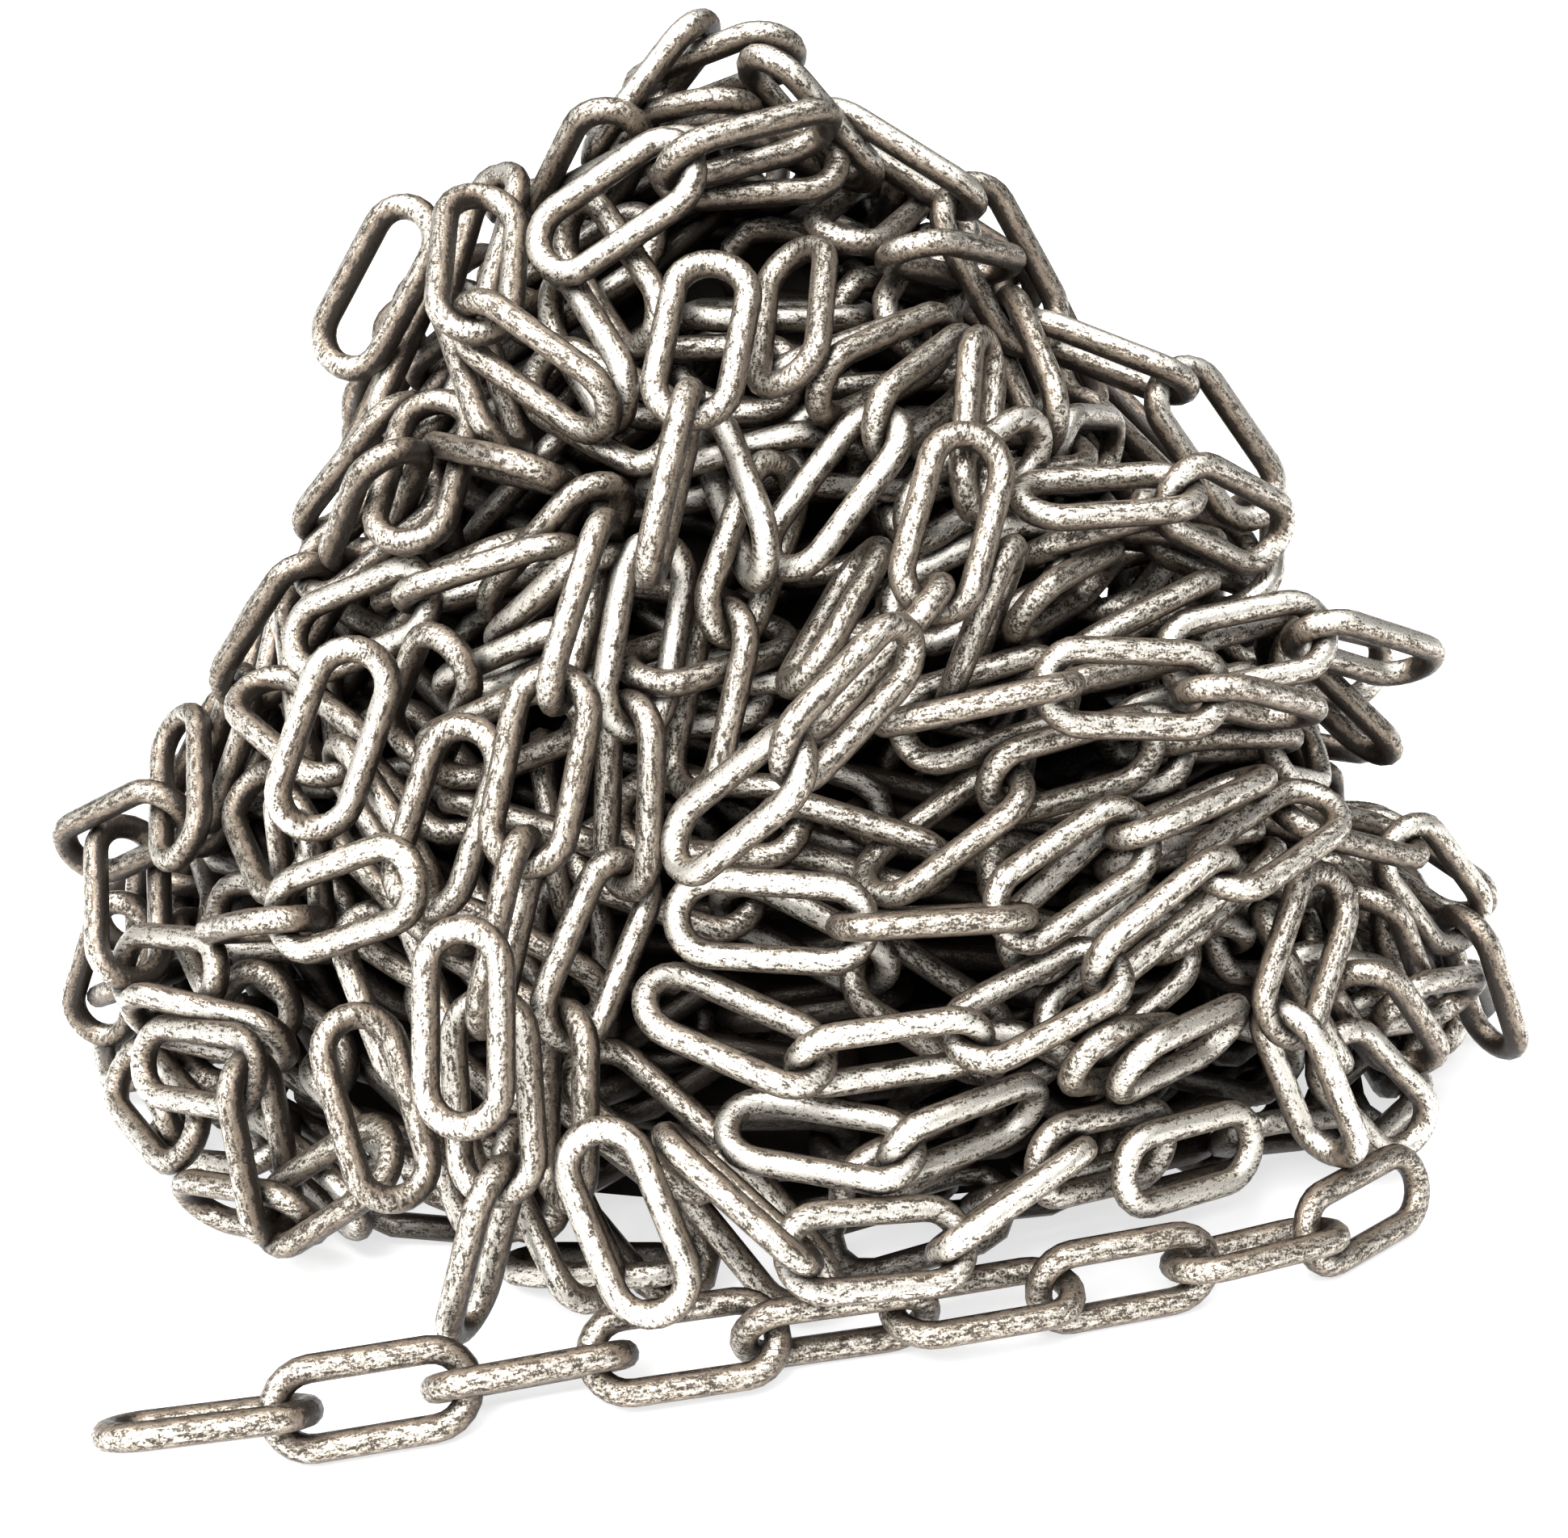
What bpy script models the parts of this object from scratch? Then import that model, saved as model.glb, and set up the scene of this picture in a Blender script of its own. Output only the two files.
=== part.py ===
"""Heap of long-link iron chain, with one end trailing out in front of it.

The inside of the heap is one plain core. Over it lie strands of links, and each strand is one
solid, its links joined where they bear on each other. The trailing links are loose, one solid
each. Metres, +Z up, with the underside on the ground at z = 0.
"""

import math

import bmesh
import bpy
import numpy as np
from mathutils.bvhtree import BVHTree

# Chain: round wire bent into long oval links
WIRE = 0.006
LINK_LENGTH = 0.046
LINK_WIDTH = 0.022
STRAND_PITCH = 0.0343
LOOSE_PITCH = 0.0327
LINK_SIDES = 5
LOOSE_SIDES = 8
BEND_STEPS = 4
CLEARANCE = 0.0003
CORE_ROOM = WIRE / 2 + CLEARANCE
WIRE_ROOM = WIRE + CLEARANCE + 0.0007

# Heap: oval in plan, with the height that its sides fall off by
HEAP_HALF_WIDTH = 0.186
HEAP_HALF_DEPTH = 0.140
HEAP_HEIGHT = 0.250
HEAP_POWER = 0.63
HEAP_LEAN = -0.063
HEAP_BEHIND_TAIL = 0.150
CORE_BELOW_STRANDS = 0.010
CORE_SEGMENTS = 28
CORE_RINGS = 9
CORE_TIP = 0.05

# Measuring of gaps, as points on each edge, as rounds of shifting a strand, and as the ways it may go
EDGE_SAMPLES = 5
SETTLE_ROUNDS = 14
ANY_WAY = np.array([1.0, 1.0, 1.0])
ALONG_GROUND = np.array([1.0, 1.0, 0.0])

# How far off the surface the strands of each layer start, before they are eased on to what is there
LAYER_LIFTS = (-0.003, 0.007, 0.014)

# Strands round and down the back, by compass angle in degrees from the right-hand side, and height
BACK_BANDS = [(0.024, 2, 172), (0.068, 8, 168), (0.112, 0, 176), (0.158, 10, 165)]
BAND_WAVE = 0.010
BAND_WAVES = 2.5
BACK_DROPS = [(38, 62), (95, 74), (150, 122)]
DROP_LOW = 0.016
DROP_HIGH = 0.205

# Viewpoint that the routes below are drawn from, as columns and rows of a 1941 by 1904 picture
EYE = np.array([0.0, -0.492, 0.338])
EYE_PITCH = math.radians(22)
EYE_FOCAL = 3400.0
EYE_COLUMN = 970.0
EYE_ROW = 952.0

# Depth at which a line of sight that passes beside the heap ends: at the ground, and for each metre up
EDGE_BEHIND_TAIL = 0.110
EDGE_SLOPE = 0.12

# Bright, worn iron and the darker iron of the inside
IRON_WORN = (0.48, 0.45, 0.40, 1.0)
IRON_DARK = (0.10, 0.09, 0.08, 1.0)

# Strands seen from the front: name, turn of the first link about its length in degrees, layer,
# and the route as picture points
FRONT_STRANDS = [
    ("strand_top_loop", 55, 0, [(760, 175), (855, 52)]),
    ("strand_centre_top", 0, 2, [(905, 270), (871, 432), (848, 597), (822, 700)]),
    (
        "strand_centre_drop", 90, 2,
        [(772, 690), (738, 885), (718, 1040), (660, 1255), (655, 1430), (607, 1600)],
    ),
    ("strand_centre_inner", 45, 1, [(835, 705), (806, 880), (775, 1080), (738, 1235), (735, 1450)]),
    ("strand_swag_upper", 0, 2, [(872, 1150), (1075, 1160), (1235, 1158), (1385, 1060), (1545, 985)]),
    (
        "strand_swag_lower", 45, 2,
        [(812, 1190), (975, 1300), (1165, 1345), (1335, 1250), (1480, 1110), (1640, 1015)],
    ),
    ("strand_bottom_swag", 90, 1, [(840, 1375), (998, 1522), (1180, 1520), (1335, 1430)]),
    ("strand_bottom_left_fan", 45, 0, [(650, 1400), (680, 1490), (745, 1600)]),
    ("strand_bottom_mid_fan", 0, 1, [(750, 1375), (822, 1550)]),
    ("strand_bottom_right_fan", 45, 0, [(760, 1340), (880, 1450), (980, 1575)]),
    ("strand_dark_sill", 45, 0, [(930, 1400), (1100, 1420), (1250, 1370)]),
    ("strand_right_foot", 45, 0, [(1750, 1410), (1610, 1290), (1545, 1130)]),
    ("strand_right_ring", 0, 1, [(1600, 1115), (1560, 1265), (1640, 1400)]),
    ("strand_right_arch", 45, 1, [(1590, 1000), (1700, 1020), (1785, 1150), (1850, 1280)]),
    ("strand_right_loop", 70, 0, [(1725, 1010), (1865, 1105)]),
    ("strand_right_middle", 0, 1, [(1130, 905), (1330, 840), (1520, 800), (1660, 850)]),
    ("strand_right_lower", 90, 1, [(1010, 955), (1215, 915), (1400, 845), (1560, 880)]),
    ("strand_right_band", 0, 0, [(1290, 960), (1450, 930), (1620, 930)]),
    ("strand_right_edge", 45, 0, [(1545, 800), (1645, 870), (1700, 950)]),
    ("strand_upper_right_band", 0, 0, [(1110, 770), (1240, 700), (1400, 660), (1540, 690)]),
    ("strand_upper_right_bow", 45, 1, [(1240, 660), (1310, 600), (1420, 610), (1520, 660)]),
    ("strand_shoulder_right", 45, 1, [(1215, 440), (1250, 560), (1200, 650)]),
    ("strand_shoulder_right_edge", 45, 0, [(1060, 170), (1190, 280), (1270, 390), (1400, 510), (1520, 640)]),
    ("strand_peak_front", 0, 1, [(720, 300), (850, 245), (1000, 190)]),
    ("strand_peak_bar", 0, 0, [(800, 215), (930, 150), (1040, 200)]),
    ("strand_peak_left", 45, 1, [(670, 260), (700, 390), (760, 500)]),
    ("strand_shoulder_left", 0, 0, [(610, 250), (605, 400), (640, 540)]),
    ("strand_shoulder_left_edge", 45, 0, [(580, 350), (510, 480)]),
    ("strand_middle_bow", 0, 1, [(1160, 560), (1110, 700), (1120, 790), (1010, 900)]),
    ("strand_middle_left", 45, 0, [(960, 600), (900, 780), (860, 960)]),
    ("strand_middle_slant", 45, 1, [(1030, 840), (900, 960), (800, 1080)]),
    ("strand_middle_upper", 45, 0, [(1180, 460), (1060, 560), (960, 700)]),
    ("strand_left_bar", 0, 1, [(370, 800), (540, 730), (700, 680)]),
    ("strand_left_edge", 0, 0, [(540, 590), (440, 690), (365, 800), (300, 920), (250, 1010)]),
    ("strand_left_slant", 45, 1, [(345, 850), (465, 965), (510, 1070)]),
    ("strand_left_arch", 45, 1, [(500, 800), (460, 930), (420, 1040)]),
    ("strand_left_hook", 0, 1, [(620, 930), (620, 1030), (560, 1120)]),
    ("strand_left_loop", 0, 1, [(560, 1080), (400, 1170), (220, 1150)]),
    ("strand_left_corner", 90, 1, [(155, 1040), (155, 1215), (260, 1215)]),
    ("strand_left_open", 0, 2, [(600, 1105), (600, 1290)]),
    ("strand_left_drop", 45, 1, [(470, 1150), (550, 1350), (590, 1500)]),
    ("strand_left_foot", 0, 1, [(200, 1290), (400, 1400), (320, 1470), (480, 1420)]),
    ("strand_left_foot_hook", 45, 1, [(490, 1290), (485, 1480), (560, 1530)]),
]

# Trailing links: picture points of the joints between them, from the free end inwards
TAIL_TURNS = (40, 130, 50, 150, 82, 10, 110, 35, 125)
TAIL_JOINTS = [
    (147, 1775), (342, 1752), (531, 1722), (722, 1682), (919, 1656), (1117, 1634), (1310, 1600),
    (1505, 1570), (1675, 1530), (1764, 1452),
]


def link_path(steps):
    """Centre line of one link along X, centred on the origin: (x, y) points of an oval."""
    reach = (LINK_LENGTH - LINK_WIDTH) / 2
    radius = (LINK_WIDTH - WIRE) / 2
    points = []
    for side in (1, -1):
        for step in range(steps + 1):
            angle = math.pi * (step / steps - 0.5)
            points.append((side * (reach + radius * math.cos(angle)), side * radius * math.sin(angle)))
    return np.array(points)


def view_rays(columns, rows):
    """Unit directions from the eye through picture points."""
    forward = np.array([0.0, math.cos(EYE_PITCH), -math.sin(EYE_PITCH)])
    upward = np.array([0.0, math.sin(EYE_PITCH), math.cos(EYE_PITCH)])
    sideways = np.array([1.0, 0.0, 0.0])
    across = (np.asarray(columns, float) - EYE_COLUMN) / EYE_FOCAL
    down = (np.asarray(rows, float) - EYE_ROW) / EYE_FOCAL
    rays = forward + across[:, None] * sideways - down[:, None] * upward
    return rays / np.linalg.norm(rays, axis=1)[:, None]


def heap_distance(points, inset=0.0):
    """Distance outside the heap's surface, made smaller by the inset, and the direction out of it."""
    half_width, half_depth, height = HEAP_HALF_WIDTH - inset, HEAP_HALF_DEPTH - inset, HEAP_HEIGHT - inset
    x = points[..., 0] - HEAP_LEAN * points[..., 2]
    y = points[..., 1] - HEAP_BEHIND_TAIL
    radial = np.sqrt((x / half_width) ** 2 + (y / half_depth) ** 2) + 1e-6
    value = radial ** (1 / HEAP_POWER) + points[..., 2] / height - 1
    steepness = radial ** (1 / HEAP_POWER - 2) / HEAP_POWER
    slope = np.stack(
        [
            steepness * x / half_width**2,
            steepness * y / half_depth**2,
            1 / height - HEAP_LEAN * steepness * x / half_width**2,
        ],
        axis=-1,
    )
    size = np.linalg.norm(slope, axis=-1)
    return value / size, slope / size[..., None]


def on_heap(picture_points, lift):
    """Where the lines of sight through the picture points first come within lift of the heap."""
    reach = np.linspace(0.30, 1.0, 1401)
    rays = view_rays(*np.transpose(picture_points))
    points = EYE + rays[:, None, :] * reach[None, :, None]
    distance, _ = heap_distance(points)
    before_edge = EDGE_BEHIND_TAIL + EDGE_SLOPE * points[..., 2] - points[..., 1]
    above_ground = points[..., 2] - LINK_WIDTH / 2
    met = np.minimum(np.minimum(distance - lift, above_ground), before_edge) < 0
    index = met.argmax(axis=1)
    return points[np.arange(len(points)), index]


def fill_in(picture_points, count):
    """The picture points with count - 1 more between each two."""
    corners = np.array(picture_points, float)
    share = np.linspace(0, 1, count, endpoint=False)[:, None]
    runs = [a + (b - a) * share for a, b in zip(corners[:-1], corners[1:])]
    return np.vstack(runs + [corners[-1:]])


def joints_along(curve, pitch):
    """Joints evenly along a curve, with as many links between them as its length has room for."""
    runs = np.linalg.norm(np.diff(curve, axis=0), axis=1)
    travelled = np.concatenate([[0], np.cumsum(runs)])
    count = max(1, round(travelled[-1] / pitch))
    at = np.linspace(0, travelled[-1], count + 1)
    return np.stack([np.interp(at, travelled, curve[:, axis]) for axis in range(3)], axis=1)


def link_frames(joints, turns):
    """Middle, long direction and side direction of the link between each two joints."""
    middles = (joints[:-1] + joints[1:]) / 2
    along = joints[1:] - joints[:-1]
    along = along / np.linalg.norm(along, axis=1)[:, None]
    _, out = heap_distance(middles)
    low = np.clip(1 - middles[:, 2:] / LINK_LENGTH, 0, 1)
    out = out * (1 - low) + np.array([0, 0, 1]) * low
    out = out - along * (out * along).sum(axis=1)[:, None]
    out = out / np.linalg.norm(out, axis=1)[:, None]
    across = np.cross(along, out)
    turn = np.radians(turns)[:, None]
    return middles, along, across * np.cos(turn) + out * np.sin(turn)


def bar_points(joints, turns, steps=8):
    """Points along the centre line of each link, for measuring gaps."""
    middles, along, side = link_frames(joints, turns)
    path = link_path(steps)
    middle_of_sides = np.array([(x, y) for y in (-1, 1) for x in (-1, -0.5, 0, 0.5, 1)])
    middle_of_sides = middle_of_sides * [(LINK_LENGTH - LINK_WIDTH) / 2, (LINK_WIDTH - WIRE) / 2]
    path = np.vstack([path, middle_of_sides])
    return middles[:, None] + along[:, None] * path[None, :, :1] + side[:, None] * path[None, :, 1:]


class Strand:
    """A run of links: its joints and each link's turn about its length."""

    def __init__(self, name, turn, layer, joints, pitch):
        self.name = name
        self.layer = layer
        self.joints = joints
        self.pitch = pitch
        quarters = 90.0 * np.arange(len(joints) - 1)
        self.turns = turn + quarters if np.isscalar(turn) else np.array(turn, float)

    def hold_pitch(self):
        for _ in range(12):
            for k in range(len(self.joints) - 1):
                apart = self.joints[k + 1] - self.joints[k]
                far = np.linalg.norm(apart)
                shift = apart / far * (far - self.pitch) / 2
                self.joints[k] += shift
                self.joints[k + 1] -= shift

    def push_link(self, k, shift):
        self.joints[k] += shift
        self.joints[k + 1] += shift


def wire_reach(sides):
    """Corner radius of a polygon as large in section as the round wire."""
    return WIRE / 2 * math.sqrt(2 * math.pi / (sides * math.sin(2 * math.pi / sides)))


def push_out(strand, room):
    """Moves the links of a strand off the core and off the ground, and tells how far they went."""
    moved = 0.0
    for k, bars in enumerate(bar_points(strand.joints, strand.turns)):
        distance, out = heap_distance(bars, CORE_BELOW_STRANDS)
        short = room - distance
        worst = short.argmax()
        if short[worst] > 0:
            strand.push_link(k, out[worst] * short[worst])
            moved = max(moved, short[worst])
        sunk = room - bars[:, 2].min()
        if sunk > 0:
            strand.push_link(k, np.array([0, 0, sunk]))
            moved = max(moved, sunk)
    return moved


def push_apart(strand, others, room):
    """Moves the links of a strand outwards, off the strands that were laid before it."""
    moved = 0.0
    bars = bar_points(strand.joints, strand.turns)
    for k in range(len(bars)):
        gaps = np.linalg.norm(others[:, None, :] - bars[k][None, :, :], axis=2)
        other, own = np.unravel_index(gaps.argmin(), gaps.shape)
        short = room - gaps[other, own]
        if short > 0:
            _, out = heap_distance(bars[k][own])
            away = (bars[k][own] - others[other]) / max(gaps[other, own], 1e-6)
            direction = away + out
            direction = direction / max(np.linalg.norm(direction), 0.3)
            strand.push_link(k, direction * short)
            moved = max(moved, short)
    return moved


class Pile:
    """What has been laid so far, as one mesh, with points along its edges for measuring gaps."""

    def __init__(self):
        self.vertices, self.faces, self.points = [], [], np.empty((0, 3))

    def add(self, mesh_data):
        self.vertices, self.faces = joined([(self.vertices, self.faces), mesh_data])
        self.points = np.vstack([self.points, edge_points(mesh_data)])

    def gap_to(self, mesh_data):
        """The smallest gap to a mesh, and the way from the mesh to what it is nearest to."""
        tree = BVHTree.FromPolygons(self.vertices, self.faces)
        other = BVHTree.FromPolygons(*mesh_data)
        if tree.overlap(other):
            return 0.0, None
        own = edge_points(mesh_data)
        beside = (self.points > own.min(axis=0) - WIRE) & (self.points < own.max(axis=0) + WIRE)
        best = (1.0, np.zeros(3))
        for point in own:
            place, _, _, distance = tree.find_nearest(point)
            if distance < best[0]:
                best = (distance, np.array(place) - point)
        for point in self.points[beside.all(axis=1)]:
            place, _, _, distance = other.find_nearest(point)
            if distance < best[0]:
                best = (distance, point - np.array(place))
        return best


def edge_points(mesh_data):
    """Points along every edge of a mesh, its ends among them."""
    vertices, faces = mesh_data
    corners = np.array(vertices)
    edges = {tuple(sorted(pair)) for face in faces for pair in zip(face, face[1:] + face[:1])}
    ends = np.array(sorted(edges))
    share = np.linspace(0, 1, EDGE_SAMPLES)[:, None, None]
    return (corners[ends[:, 0]] * (1 - share) + corners[ends[:, 1]] * share).reshape(-1, 3)


def settle(strand, pile, mesh_of, free):
    """Shifts a whole strand, along the free axes, until it lies the running clearance off the pile."""
    for _ in range(SETTLE_ROUNDS):
        gap, way = pile.gap_to(mesh_of(strand))
        if way is None:
            strand.joints += free * outwards(strand) * CLEARANCE
        elif gap > 1.5 * CLEARANCE:
            strand.joints += free * way / gap * min(gap - CLEARANCE, WIRE)
        else:
            return
    while pile.gap_to(mesh_of(strand))[1] is None:
        strand.joints += free * outwards(strand) * CLEARANCE


def outwards(strand):
    return heap_distance(strand.joints.mean(axis=0))[1]


def lay_strands():
    """All strands in the order of their layers, each clear of the core and of those under it."""
    tail = tail_strand()
    laid = []
    pile = Pile()
    pile.add(core_mesh())
    bars = bar_points(tail.joints, tail.turns).reshape(-1, 3)
    for name, turn, layer, route in sorted(FRONT_STRANDS + back_strands(), key=lambda row: row[2]):
        curve = route if np.shape(route)[1] == 3 else on_heap(fill_in(route, 8), LAYER_LIFTS[layer])
        strand = Strand(name, turn, layer, joints_along(curve, STRAND_PITCH), STRAND_PITCH)
        for _ in range(200):
            moved = push_out(strand, CORE_ROOM)
            near = bars[np.linalg.norm(bars - strand.joints.mean(axis=0), axis=1) < 0.16]
            moved = max(moved, push_apart(strand, near, WIRE_ROOM) if len(near) else 0.0)
            strand.hold_pitch()
            if moved < 0.00005:
                break
        settle(strand, pile, strand_mesh, ANY_WAY)
        pile.add(strand_mesh(strand))
        laid.append(strand)
        bars = np.vstack([bars, bar_points(strand.joints, strand.turns).reshape(-1, 3)])
    settle(tail, pile, tail_mesh, ALONG_GROUND)
    return tail, laid


def heap_point(azimuth, height, lift=0.0):
    """Point on the surface of the heap, by its compass angle in degrees and its height."""
    angle = math.radians(azimuth)
    fall = (1 - height / HEAP_HEIGHT) ** HEAP_POWER
    return np.array(
        [
            (HEAP_HALF_WIDTH * fall + lift) * math.cos(angle) + HEAP_LEAN * height,
            (HEAP_HALF_DEPTH * fall + lift) * math.sin(angle) + HEAP_BEHIND_TAIL,
            height,
        ]
    )


def back_strands():
    """Wavy bands round the back of the heap, and strands that hang down over them, each askew."""
    rows = []
    steps = np.linspace(0, 1, 40)
    for k, (height, first, last) in enumerate(BACK_BANDS):
        waves = height + BAND_WAVE * np.sin(2 * math.pi * (BAND_WAVES * steps + 0.3 * k))
        curve = np.array([heap_point(first + (last - first) * s, z) for s, z in zip(steps, waves)])
        rows.append((f"strand_back_band_{k + 1}", 45 * (k % 2), 0, curve))
    for k, (below, above) in enumerate(BACK_DROPS):
        heights = DROP_LOW + (DROP_HIGH - DROP_LOW) * steps
        spread = zip(below + (above - below) * steps, heights)
        curve = np.array([heap_point(angle, z, LAYER_LIFTS[1]) for angle, z in spread])
        rows.append((f"strand_back_drop_{k + 1}", 45 * (k % 2), 1, curve))
    return rows


def link_mesh(frame, sides):
    """Vertices and quads of one link of the given number of sides."""
    middle, along, side = frame
    normal = np.cross(along, side)
    path = link_path(BEND_STEPS)
    count = len(path)
    ahead = np.roll(path, -1, axis=0) - path
    ahead = ahead / np.linalg.norm(ahead, axis=1)[:, None]
    tangent = ahead + np.roll(ahead, 1, axis=0)
    tangent = tangent / np.linalg.norm(tangent, axis=1)[:, None]
    outward = np.stack([tangent[:, 1], -tangent[:, 0]], axis=1)
    radius = wire_reach(sides)
    vertices = []
    for k in range(count):
        for s in range(sides):
            angle = 2 * math.pi * s / sides
            flat = path[k] - outward[k] * radius * math.cos(angle)
            height = radius * math.sin(angle)
            vertices.append(middle + along * flat[0] + side * flat[1] + normal * height)
    faces = []
    for k in range(count):
        for s in range(sides):
            a, b = k * sides + s, k * sides + (s + 1) % sides
            c, d = ((k + 1) % count) * sides + (s + 1) % sides, ((k + 1) % count) * sides + s
            faces.append((a, b, c, d))
    return vertices, faces


def meshes_of(strand, sides):
    return [link_mesh(frame, sides) for frame in zip(*link_frames(strand.joints, strand.turns))]


def strand_mesh(strand):
    return joined(meshes_of(strand, LINK_SIDES))


def tail_mesh(strand):
    return joined(meshes_of(strand, LOOSE_SIDES))


def joined(meshes):
    """Several (vertices, faces) as one."""
    vertices, faces = [], []
    for points, quads in meshes:
        faces += [tuple(index + len(vertices) for index in quad) for quad in quads]
        vertices += points
    return vertices, faces


def core_mesh():
    """The plain inside of the heap, flat underneath."""
    height = HEAP_HEIGHT - CORE_BELOW_STRANDS
    half_width = HEAP_HALF_WIDTH - CORE_BELOW_STRANDS
    half_depth = HEAP_HALF_DEPTH - CORE_BELOW_STRANDS
    vertices = []
    for ring in range(CORE_RINGS + 1):
        level = (ring / CORE_RINGS) * (1 - CORE_TIP)
        fall = (1 - level) ** HEAP_POWER
        z = height * level
        for k in range(CORE_SEGMENTS):
            angle = 2 * math.pi * k / CORE_SEGMENTS
            x = half_width * fall * math.cos(angle) + HEAP_LEAN * z
            y = half_depth * fall * math.sin(angle) + HEAP_BEHIND_TAIL
            vertices.append(np.array([x, y, z]))
    faces = []
    for ring in range(CORE_RINGS):
        for k in range(CORE_SEGMENTS):
            a, b = ring * CORE_SEGMENTS + k, ring * CORE_SEGMENTS + (k + 1) % CORE_SEGMENTS
            faces.append((a, b, b + CORE_SEGMENTS, a + CORE_SEGMENTS))
    faces.append(tuple(range(CORE_SEGMENTS))[::-1])
    faces.append(tuple(CORE_RINGS * CORE_SEGMENTS + k for k in range(CORE_SEGMENTS)))
    return vertices, faces


def iron(name, colour, roughness):
    material = bpy.data.materials.new(name)
    material.use_nodes = True
    shader = material.node_tree.nodes["Principled BSDF"]
    shader.inputs["Base Color"].default_value = colour
    shader.inputs["Metallic"].default_value = 0.9
    shader.inputs["Roughness"].default_value = roughness
    return material


def add_object(name, mesh_data, material, origin):
    vertices, faces = mesh_data
    mesh = bpy.data.meshes.new(name)
    mesh.from_pydata([tuple(point) for point in vertices], [], faces)
    solid = bmesh.new()
    solid.from_mesh(mesh)
    bmesh.ops.recalc_face_normals(solid, faces=solid.faces)
    solid.to_mesh(mesh)
    solid.free()
    mesh.shade_smooth()
    mesh.set_sharp_from_angle(angle=math.radians(65))
    mesh.materials.append(material)
    thing = bpy.data.objects.new(name, mesh)
    thing.location = [-value for value in origin]
    bpy.context.scene.collection.objects.link(thing)
    return thing


def add_strand(strand, material, origin):
    """Every other link is one mesh, the links between are a second, and a union joins the two."""
    meshes = meshes_of(strand, LINK_SIDES)
    thing = add_object(strand.name, joined(meshes[0::2]), material, origin)
    if len(meshes) > 1:
        between = add_object(strand.name + "_between", joined(meshes[1::2]), material, origin)
        between.hide_render = True
        between.display_type = "WIRE"
        union = thing.modifiers.new("join_links", "BOOLEAN")
        union.operation = "UNION"
        union.solver = "EXACT"
        union.object = between
    return thing


def tail_strand():
    """The trailing links, on the ground and then up the side of the heap."""
    strand = Strand("tail_link", TAIL_TURNS, 0, on_heap(TAIL_JOINTS, 0.0), LOOSE_PITCH)
    for _ in range(60):
        push_out(strand, wire_reach(LOOSE_SIDES) + CLEARANCE)
        strand.hold_pitch()
    return strand


def box_of(meshes):
    points = np.vstack([np.array(vertices) for vertices, _ in meshes])
    return points.min(axis=0), points.max(axis=0)


def main():
    for thing in list(bpy.data.objects):
        bpy.data.objects.remove(thing)
    tail, strands = lay_strands()
    tail_meshes = meshes_of(tail, LOOSE_SIDES)
    low, high = box_of([core_mesh()] + tail_meshes + [strand_mesh(strand) for strand in strands])
    origin = [(low[0] + high[0]) / 2, (low[1] + high[1]) / 2, 0.0]
    add_object("heap_core", core_mesh(), iron("core_iron", IRON_DARK, 0.8), origin)
    for k, mesh_data in enumerate(tail_meshes):
        name = f"tail_link_{k + 1:02d}"
        add_object(name, mesh_data, iron(name + "_iron", IRON_WORN, 0.45), origin)
    for strand in strands:
        add_strand(strand, iron(strand.name + "_iron", IRON_WORN, 0.45), origin)


main()
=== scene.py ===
"""Heap of long-link iron chain, link by link, with one end trailing out in front of it.

The strands of the solids keep their places. More links lie between them, under them and round the
sides and the back. These are eased apart, and those that still cut into another are left out. A node
tree sweeps the wire and sets a link at every place. Metres, +Z up, the ground at z = 0.
"""

import math

import bpy
import numpy as np
from mathutils import Matrix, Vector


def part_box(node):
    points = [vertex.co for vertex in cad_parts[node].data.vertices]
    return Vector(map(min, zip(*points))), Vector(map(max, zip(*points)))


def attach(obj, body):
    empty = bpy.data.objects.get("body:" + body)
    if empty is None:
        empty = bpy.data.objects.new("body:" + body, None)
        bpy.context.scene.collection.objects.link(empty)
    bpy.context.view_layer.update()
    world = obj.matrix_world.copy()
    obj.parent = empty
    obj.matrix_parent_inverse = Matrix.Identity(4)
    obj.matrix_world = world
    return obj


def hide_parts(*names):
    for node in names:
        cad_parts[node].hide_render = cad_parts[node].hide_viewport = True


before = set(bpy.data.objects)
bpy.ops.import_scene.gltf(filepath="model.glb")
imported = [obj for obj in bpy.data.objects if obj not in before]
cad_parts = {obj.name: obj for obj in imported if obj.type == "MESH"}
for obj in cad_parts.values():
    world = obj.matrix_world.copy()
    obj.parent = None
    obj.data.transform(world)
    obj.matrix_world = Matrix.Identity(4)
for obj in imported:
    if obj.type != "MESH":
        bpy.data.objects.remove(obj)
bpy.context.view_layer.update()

# Chain: round wire bent into long oval links, the reach of a link's straight sides along it and the
# radius of its bends, and how far apart joined links, loose ones and the filling ones follow each other
WIRE = 0.006
LINK_LENGTH = 0.046
LINK_WIDTH = 0.022
END_REACH = (LINK_LENGTH - LINK_WIDTH) / 2
BEND_RADIUS = (LINK_WIDTH - WIRE) / 2
STRAND_PITCH = 0.0343
LOOSE_PITCH = 0.0327
EASED_PITCH = 0.0338

# Link as the solids draw it: flats round the wire of a joined link and of a loose one, steps in a bend
LINK_SIDES = 5
LOOSE_SIDES = 8
BEND_STEPS = 4

# Points along a link's centre line for laying, filling and shading: steps in a bend and along a side
LAY_POINTS = (8, 4)
FILL_POINTS = (4, 4)
SHADE_POINTS = (10, 10)

# Heap: oval in plan, drawn in towards its peak by a power of the height left, and leaning
HEAP_HALF_WIDTH = 0.186
HEAP_HALF_DEPTH = 0.140
HEAP_HEIGHT = 0.250
HEAP_POWER = 0.63
HEAP_LEAN = -0.063
HEAP_BEHIND_TAIL = 0.150
CORE_BELOW_STRANDS = 0.010

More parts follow.
